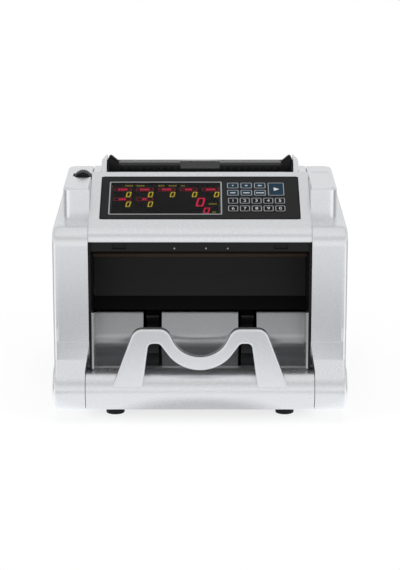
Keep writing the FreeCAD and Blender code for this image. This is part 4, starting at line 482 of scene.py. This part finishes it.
def display_mask():
    """Black face close under the window and the block that carries it on the digit modules."""
    x, y, half_x, half_y, _ = panel_place("display_window")
    face_low = -WINDOW_GAP - PRINT - MASK_THICK
    module_top = panel_module_top()
    for name, inset, low, thick in (
        ("display_face", FACE_INSET, face_low, MASK_THICK),
        ("display_block", BLOCK_INSET, module_top, face_low - module_top),
    ):
        outline = rounded_box(*around(x, y, half_x - inset, half_y - inset), MASK_CORNER, FEW_STEPS)
        mesh = loops_to_mesh(name, [[outline]], thick, on_panel(0, 0, low))
        add_piece(name, mesh, KEY_BLACK, "chassis")


def panel_module_top():
    """Height of the display board's digit modules, from the panel's face."""
    spots = [v.co - PANEL_ORIGIN for v in NODES["display_board"].data.vertices]
    return max(
        spot.dot(OUT)
        for spot in spots
        if MODULE_X[0] < spot.x < MODULE_X[1] and MODULE_Y[0] < spot.dot(UP_SLOPE) < MODULE_Y[1]
    )


display_mask()
light_display()


# Fasteners, switch marks, small lamps and small casing pieces

ROUND_HEAD = ((0.55, 1.0), (0.85, 0.75), (1.0, 0.25), (1.0, 0.0))  # shares of radius and height
TURNED_SIDES = 20
SCREW_HEIGHT = 1.2 * MM
SCREW_RADIUS = 2.8 * MM
CROSS_ARM = 1.3 * MM
CROSS_HALF = 0.3 * MM
REAR_SCREW_INSET = 8 * MM
BASE_SCREW_INSET = 34 * MM
ROCKER_OUTWARD = 0.7  # least share of a rocker face's normal that points to the back
ROCKER_BAR_HALF = (0.35 * MM, 2 * MM)
ROCKER_RING = (2 * MM, 1.4 * MM)
ROCKER_CORNER = 0.2 * MM
NEARLY_ROUND = 0.999
RING_STEPS = 6
LAMP_PLACES = (-24, 5.6, 26)
LAMP_DROP = 1.5 * MM
LAMP_RADIUS = 0.8 * MM
LAMP_HEIGHT = 0.6 * MM
LENS_PLACES = (-76, 76)
LENS_HALF = (7.2 * MM, 3.1 * MM)
LENS_CORNER = 0.5 * MM
LENS_LINE = 0.35 * MM
FORWARD = (0, -1, 0)
DECK_GAP = 0.4 * MM
DECK_WALL = 1.6 * MM
DECK_CORNER = 0.6 * MM
WALL_CORNER = 0.3 * MM
CHEEK_TOP = 230 * MM  # only the hood's cheeks reach above this
SHELF_SIDE = 100 * MM  # only the hood's shelves reach past this
EAR_CAP = ((91.0, 228.3), (91.0, 230.4), (88.6, 235.6), (86.6, 235.6), (79.6, 229.8), (79.6, 228.3))
EAR_CAP_FRONT = 3 * MM
EAR_CAP_DEPTH = 4 * MM


def facing(place, normal):
    """A frame at a place, its z along the normal and its y as near upright as it can be."""
    out = Vector(normal).normalized()
    up = Vector((0, 0, 1)) if abs(out.z) < 0.9 else Vector((0, 1, 0))
    across = up.cross(out).normalized()
    frame_at = Matrix((across, out.cross(across), out)).transposed().to_4x4()
    frame_at.translation = Vector(place)
    return frame_at


def turned_mesh(name, radius, height, places):
    """A round head at each of several frames."""
    form = bmesh.new()
    turns = [2 * math.pi * i / TURNED_SIDES for i in range(TURNED_SIDES)]
    for place in places:
        rings = []
        for share, level in ROUND_HEAD:
            reach = share * radius
            spots = [Vector((reach * math.cos(a), reach * math.sin(a), level * height)) for a in turns]
            rings.append([form.verts.new(place @ spot) for spot in spots])
        for upper, lower in zip(rings, rings[1:]):
            for i in range(TURNED_SIDES):
                form.faces.new((upper[i - 1], lower[i - 1], lower[i], upper[i]))
        form.faces.new(rings[0])
        form.faces.new(reversed(rings[-1]))
    bmesh.ops.recalc_face_normals(form, faces=form.faces)
    mesh = bpy.data.meshes.new(name)
    form.to_mesh(mesh)
    form.free()
    return mesh


def add_screws(name, spots, normal):
    """Pan heads, each with a flat black cross of painted shade where its recess would be."""
    places = [facing(spot, normal) for spot in spots]
    mesh = turned_mesh(name, SCREW_RADIUS, SCREW_HEIGHT, places)
    add_piece(name, mesh, STEEL, "chassis")
    # The cross is painted shade: a black mark for the dark inside the head's recess, which is not modelled.
    arm, half = CROSS_ARM, CROSS_HALF
    cross = [(arm, half), (half, half), (half, arm), (-half, arm), (-half, half), (-arm, half)]
    cross += [(-x, -y) for x, y in cross]
    lift = Matrix.Translation((0, 0, SCREW_HEIGHT))
    recess_shades = [loops_to_mesh(name + "_cross", [[cross]], PRINT, place @ lift) for place in places]
    add_piece(name + "_cross", joined(name + "_cross", recess_shades), BLACK, "chassis")


def screw_casing():
    """Screws in the corners of the rear panel and under the base pan."""
    low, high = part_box("rear_panel")
    inset = REAR_SCREW_INSET
    spots = [(x, high.y, z) for x in (low.x + inset, high.x - inset) for z in (low.z + inset, high.z - inset)]
    add_screws("rear_screws", spots, (0, 1, 0))
    low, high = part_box("base_pan")
    inset = BASE_SCREW_INSET
    spots = [(x, y, low.z) for x in (low.x + inset, high.x - inset) for y in (low.y + inset, high.y - inset)]
    add_screws("base_screws", spots, (0, 0, -1))


def mark_rocker():
    """A bar and a ring on the two faces of the power rocker."""
    faces = {}
    for polygon in NODES["power_rocker"].data.polygons:
        if polygon.normal.y < ROCKER_OUTWARD:
            continue
        key = tuple(round(c, 2) for c in polygon.normal)
        area, middle = faces.get(key, (0.0, Vector()))
        faces[key] = (area + polygon.area, middle + polygon.center * polygon.area)
    widest = sorted(faces, key=lambda key: faces[key][0])[-2:]
    upper, lower = sorted(widest, key=lambda key: -(faces[key][1] / faces[key][0]).z)
    bar = [[rounded_box(*around(0, 0, *ROCKER_BAR_HALF), ROCKER_CORNER, FEW_STEPS)]]
    ring = [[rounded_box(*around(0, 0, r, r), r * NEARLY_ROUND, RING_STEPS) for r in ROCKER_RING]]
    for name, key, loops in (("rocker_on", upper, bar), ("rocker_off", lower, ring)):
        area, middle = faces[key]
        place = facing(middle / area, key)
        add_piece(name, loops_to_mesh(name, loops, PRINT, place), PRINT_WHITE, "rocker")


def light_bay():
    """Small lamps along the rail under the fascia and a line around its lens fields."""
    low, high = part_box("lamp_rail")
    middle = (low.z + high.z) / 2
    spots = [facing((x * MM, low.y, middle - LAMP_DROP), FORWARD) for x in LAMP_PLACES]
    mesh = turned_mesh("bay_lamps", LAMP_RADIUS, LAMP_HEIGHT, spots)
    add_piece("bay_lamps", mesh, PRINT_GREY, "chassis")
    ring = outline_ring(*around(0, 0, *LENS_HALF), LENS_CORNER, LENS_LINE)
    places = [facing((x * MM, low.y, middle), FORWARD) for x in LENS_PLACES]
    rings = [loops_to_mesh("lens_lines", [ring], PRINT, place) for place in places]
    add_piece("lens_lines", joined("lens_lines", rings), PANEL, "chassis")


def close_deck():
    """Silver blocks from each tower to its hopper cheek, on the side frames, with a wall down at the back."""
    low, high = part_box("right_housing")
    hood = [v.co for v in NODES["rear_hood"].data.vertices]
    cheek = max(spot.x for spot in hood if spot.z > CHEEK_TOP or spot.y < 0)
    shelf = max(spot.z for spot in hood if spot.x > SHELF_SIDE) + DECK_GAP
    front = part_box("control_beam")[1].y + DECK_GAP
    back = max(v.co.y for v in NODES["right_housing"].data.vertices if v.co.z > high.z - MM)
    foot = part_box("side_frames")[1].z + PRINT
    for name, side in (("left_deck", -1), ("right_deck", 1)):
        near, far = sorted((side * (cheek + DECK_GAP), side * (low.x - 2 * DECK_GAP)))
        meshes = []
        for y, corner, bottom, top in (
            (front, DECK_CORNER, foot, high.z),
            (back - DECK_WALL, WALL_CORNER, shelf, foot - PRINT),
        ):
            outline = rounded_box(near, y, far, back, corner)
            meshes.append(loops_to_mesh(name, [[outline]], top - bottom, Matrix.Translation((0, 0, bottom))))
        add_piece(name, joined(name, meshes), SILVER, "chassis")


def cap_ears():
    """Black peaks on the ears of the note guides, behind their plates."""
    behind = EAR_CAP_FRONT + EAR_CAP_DEPTH
    stand = Matrix(((1, 0, 0, 0), (0, 0, -1, behind), (0, 1, 0, 0), (0, 0, 0, 1)))
    for side, guide in ((-1, "left_note_guide"), (1, "right_note_guide")):
        outline = [(side * x * MM, z * MM) for x, z in EAR_CAP]
        mesh = loops_to_mesh(guide + "_peak", [[outline]], EAR_CAP_DEPTH, stand)
        add_piece(guide + "_peak", mesh, BLACK, body_of_node(guide))


screw_casing()
mark_rocker()
light_bay()
close_deck()
cap_ears()


# Studio: white floor and backdrop, soft lamps, and the camera of the photograph

FLOOR_SIZE = 12.0
FLOOR_WHITE = 0.95
FLOOR_GLOW = 0.25
SHADOW_SHARE = 0.3  # of the floor's look to the camera, near the object
SHADOW_REACH = (0.18, 0.42)
# What reflections see, as pairs of place and level: the floor by distance in metres and, at the
# sides, by direction from front (0) to back (1), and the sky by height
FLOOR_SHEEN = ((0.13, 0.6), (0.17, 0.97), (0.31, 1.0), (0.46, 0.36), (0.54, 0.24), (0.74, 0.95))
SHEEN_SHAPE = (1.6, 1.0, 1.0)
SIDE_TURN = (0.13, 0.2)
SIDE_SHEEN = ((0.2, 0.95), (0.33, 0.95), (0.42, 0.35), (1.0, 0.45))
SIDE_STRENGTH = 1.3
SKY_FRONT = ((0.0, 1.0), (0.2, 0.95), (0.42, 0.8), (0.6, 0.58), (0.88, 0.88), (1.0, 0.8))
SKY_BACK = ((0.2, 0.88), (0.38, 0.82), (0.55, 0.64), (0.68, 0.64), (0.86, 0.8), (1.0, 0.8))
SKY_TURN = (-0.1, 0.1)
SKY_FILL = 0.3
SHEEN_TINT = (0.97, 0.985, 1.0)
LAMP_TARGET = (0, 0, 0.12)
LAMPS = (  # name, place, size, power
    ("overhead", (0, -0.2, 1.7), (1.6, 1.4), 14),
    ("left_box", (-1.5, -1.0, 0.9), (0.9, 1.2), 6),
    ("right_box", (1.5, -1.0, 0.9), (0.9, 1.2), 6),
    ("front_box", (0, -2.2, 1.2), (1.4, 0.6), 3),
)
CAMERA_TARGET = Vector((0, -0.118, 0.1364))
CAMERA_DISTANCE = 2.0
CAMERA_ELEVATION = math.radians(15)
FOCAL_PIXELS = 2130
LONG_SIDE_PIXELS = 570
SENSOR = 36.0


def link_range(tree, source, low, high, start=0.0, end=1.0):
    """Maps a socket to low..high, each a number or another socket."""
    spread = tree.nodes.new("ShaderNodeMapRange")
    spread.inputs["From Min"].default_value = start
    spread.inputs["From Max"].default_value = end
    tree.links.new(source, spread.inputs["Value"])
    for socket, bound in ((spread.inputs["To Min"], low), (spread.inputs["To Max"], high)):
        if isinstance(bound, bpy.types.NodeSocket):
            tree.links.new(bound, socket)
        else:
            socket.default_value = bound
    return spread.outputs["Result"]


def seen_directly(tree, path):
    """One where the camera looks, also through glass."""
    either = tree.nodes.new("ShaderNodeMath")
    either.operation = "MAXIMUM"
    tree.links.new(path.outputs["Is Camera Ray"], either.inputs[0])
    tree.links.new(path.outputs["Is Transmission Ray"], either.inputs[1])
    return either.outputs[0]


def graded(tree, source, stops):
    """A bluish grey that follows a socket through pairs of place and level."""
    ramp = tree.nodes.new("ShaderNodeValToRGB")
    marks = ramp.color_ramp.elements
    while len(marks) < len(stops):
        marks.new(1.0)
    for mark, (place, level) in zip(marks, stops):
        mark.position = place
        mark.color = (*(level * tint for tint in SHEEN_TINT), 1)
    tree.links.new(source, ramp.inputs["Fac"])
    return ramp.outputs["Color"]


def blend(tree, share, first, second):
    """The first shader, or the second where share is one."""
    mix = tree.nodes.new("ShaderNodeMixShader")
    tree.links.new(share, mix.inputs[0])
    tree.links.new(first, mix.inputs[1])
    tree.links.new(second, mix.inputs[2])
    return mix.outputs[0]


def vector_math(tree, operation, source):
    node = tree.nodes.new("ShaderNodeVectorMath")
    node.operation = operation
    tree.links.new(source, node.inputs[0])
    return node


def glow(tree, colour=None, strength=1.0):
    """An emission, white or with its colour from a socket."""
    shader = tree.nodes.new("ShaderNodeEmission")
    shader.inputs["Strength"].default_value = strength
    if colour:
        tree.links.new(colour, shader.inputs["Color"])
    return shader.outputs[0]


def floor_sheen(tree, place):
    """What reflections see of the floor: levels by distance in front, levels by direction at the sides."""
    wide = vector_math(tree, "MULTIPLY", place)
    wide.inputs[1].default_value = SHEEN_SHAPE
    distance = vector_math(tree, "LENGTH", wide.outputs["Vector"]).outputs["Value"]
    split = tree.nodes.new("ShaderNodeSeparateXYZ")
    tree.links.new(vector_math(tree, "NORMALIZE", place).outputs["Vector"], split.inputs[0])
    turn = link_range(tree, split.outputs["Y"], 0.0, 1.0, -1.0, 1.0)
    front = glow(tree, graded(tree, distance, FLOOR_SHEEN))
    side = glow(tree, graded(tree, turn, SIDE_SHEEN), SIDE_STRENGTH)
    return blend(tree, link_range(tree, turn, 0.0, 1.0, *SIDE_TURN), front, side)


def floor_material():
    """White to the camera, with the object's shadow near it, and graded in reflections."""
    material, tree, shader = new_material("floor_white")
    shader.inputs["Base Color"].default_value = (FLOOR_WHITE, FLOOR_WHITE, FLOOR_WHITE, 1)
    shader.inputs["Roughness"].default_value = 0.9
    shader.inputs["Emission Color"].default_value = (1, 1, 1, 1)
    shader.inputs["Emission Strength"].default_value = FLOOR_GLOW
    path = tree.nodes.new("ShaderNodeLightPath")
    place = tree.nodes.new("ShaderNodeTexCoord").outputs["Object"]
    distance = vector_math(tree, "LENGTH", place).outputs["Value"]
    whiteness = link_range(tree, distance, 1 - SHADOW_SHARE, 1.0, *SHADOW_REACH)
    direct = link_range(tree, seen_directly(tree, path), 0.0, whiteness)
    plain = blend(tree, direct, shader.outputs[0], glow(tree))
    whole = blend(tree, path.outputs["Is Glossy Ray"], plain, floor_sheen(tree, place))
    tree.links.new(whole, tree.nodes["Material Output"].inputs["Surface"])
    return material


def make_floor():
    mesh = bpy.data.meshes.new("floor")
    half = FLOOR_SIZE / 2
    corners = [(-half, -half, 0), (half, -half, 0), (half, half, 0), (-half, half, 0)]
    mesh.from_pydata(corners, [], [(0, 1, 2, 3)])
    floor = bpy.data.objects.new("floor", mesh)
    bpy.context.scene.collection.objects.link(floor)
    mesh.materials.append(floor_material())


def make_world():
    """White to the camera; in reflections a sky graded by height, with its own levels in front and behind."""
    world = bpy.data.worlds.new("studio")
    bpy.context.scene.world = world
    world.use_nodes = True
    tree = world.node_tree
    path = tree.nodes.new("ShaderNodeLightPath")
    place = tree.nodes.new("ShaderNodeTexCoord")
    split = tree.nodes.new("ShaderNodeSeparateXYZ")
    tree.links.new(place.outputs["Generated"], split.inputs[0])
    ahead = graded(tree, split.outputs["Z"], SKY_FRONT)
    behind = graded(tree, split.outputs["Z"], SKY_BACK)
    sheen = link_range(tree, split.outputs["Y"], ahead, behind, *SKY_TURN)
    unseen = link_range(tree, path.outputs["Is Glossy Ray"], SKY_FILL, sheen)
    back = tree.nodes["Background"]
    back.inputs["Color"].default_value = (1, 1, 1, 1)
    tree.links.new(link_range(tree, seen_directly(tree, path), unseen, 1.0), back.inputs["Strength"])


def make_lamps():
    """Soft boxes that light the object and stay out of its reflections."""
    for name, place, size, power in LAMPS:
        data = bpy.data.lights.new(name, "AREA")
        data.shape = "RECTANGLE"
        data.size, data.size_y = size
        data.energy = power
        lamp = bpy.data.objects.new(name, data)
        bpy.context.scene.collection.objects.link(lamp)
        lamp.location = place
        lamp.rotation_euler = (Vector(LAMP_TARGET) - Vector(place)).to_track_quat("-Z", "Y").to_euler()
        lamp.visible_glossy = False


def make_camera():
    data = bpy.data.cameras.new("camera")
    data.sensor_width = SENSOR
    data.lens = SENSOR * FOCAL_PIXELS / LONG_SIDE_PIXELS
    camera = bpy.data.objects.new("camera", data)
    bpy.context.scene.collection.objects.link(camera)
    back = Vector((0, -math.cos(CAMERA_ELEVATION), math.sin(CAMERA_ELEVATION)))
    camera.location = CAMERA_TARGET + back * CAMERA_DISTANCE
    camera.rotation_euler = (-back).to_track_quat("-Z", "Y").to_euler()
    bpy.context.scene.camera = camera


make_floor()
make_world()
make_lamps()
make_camera()
bpy.context.scene.view_settings.view_transform = "Standard"
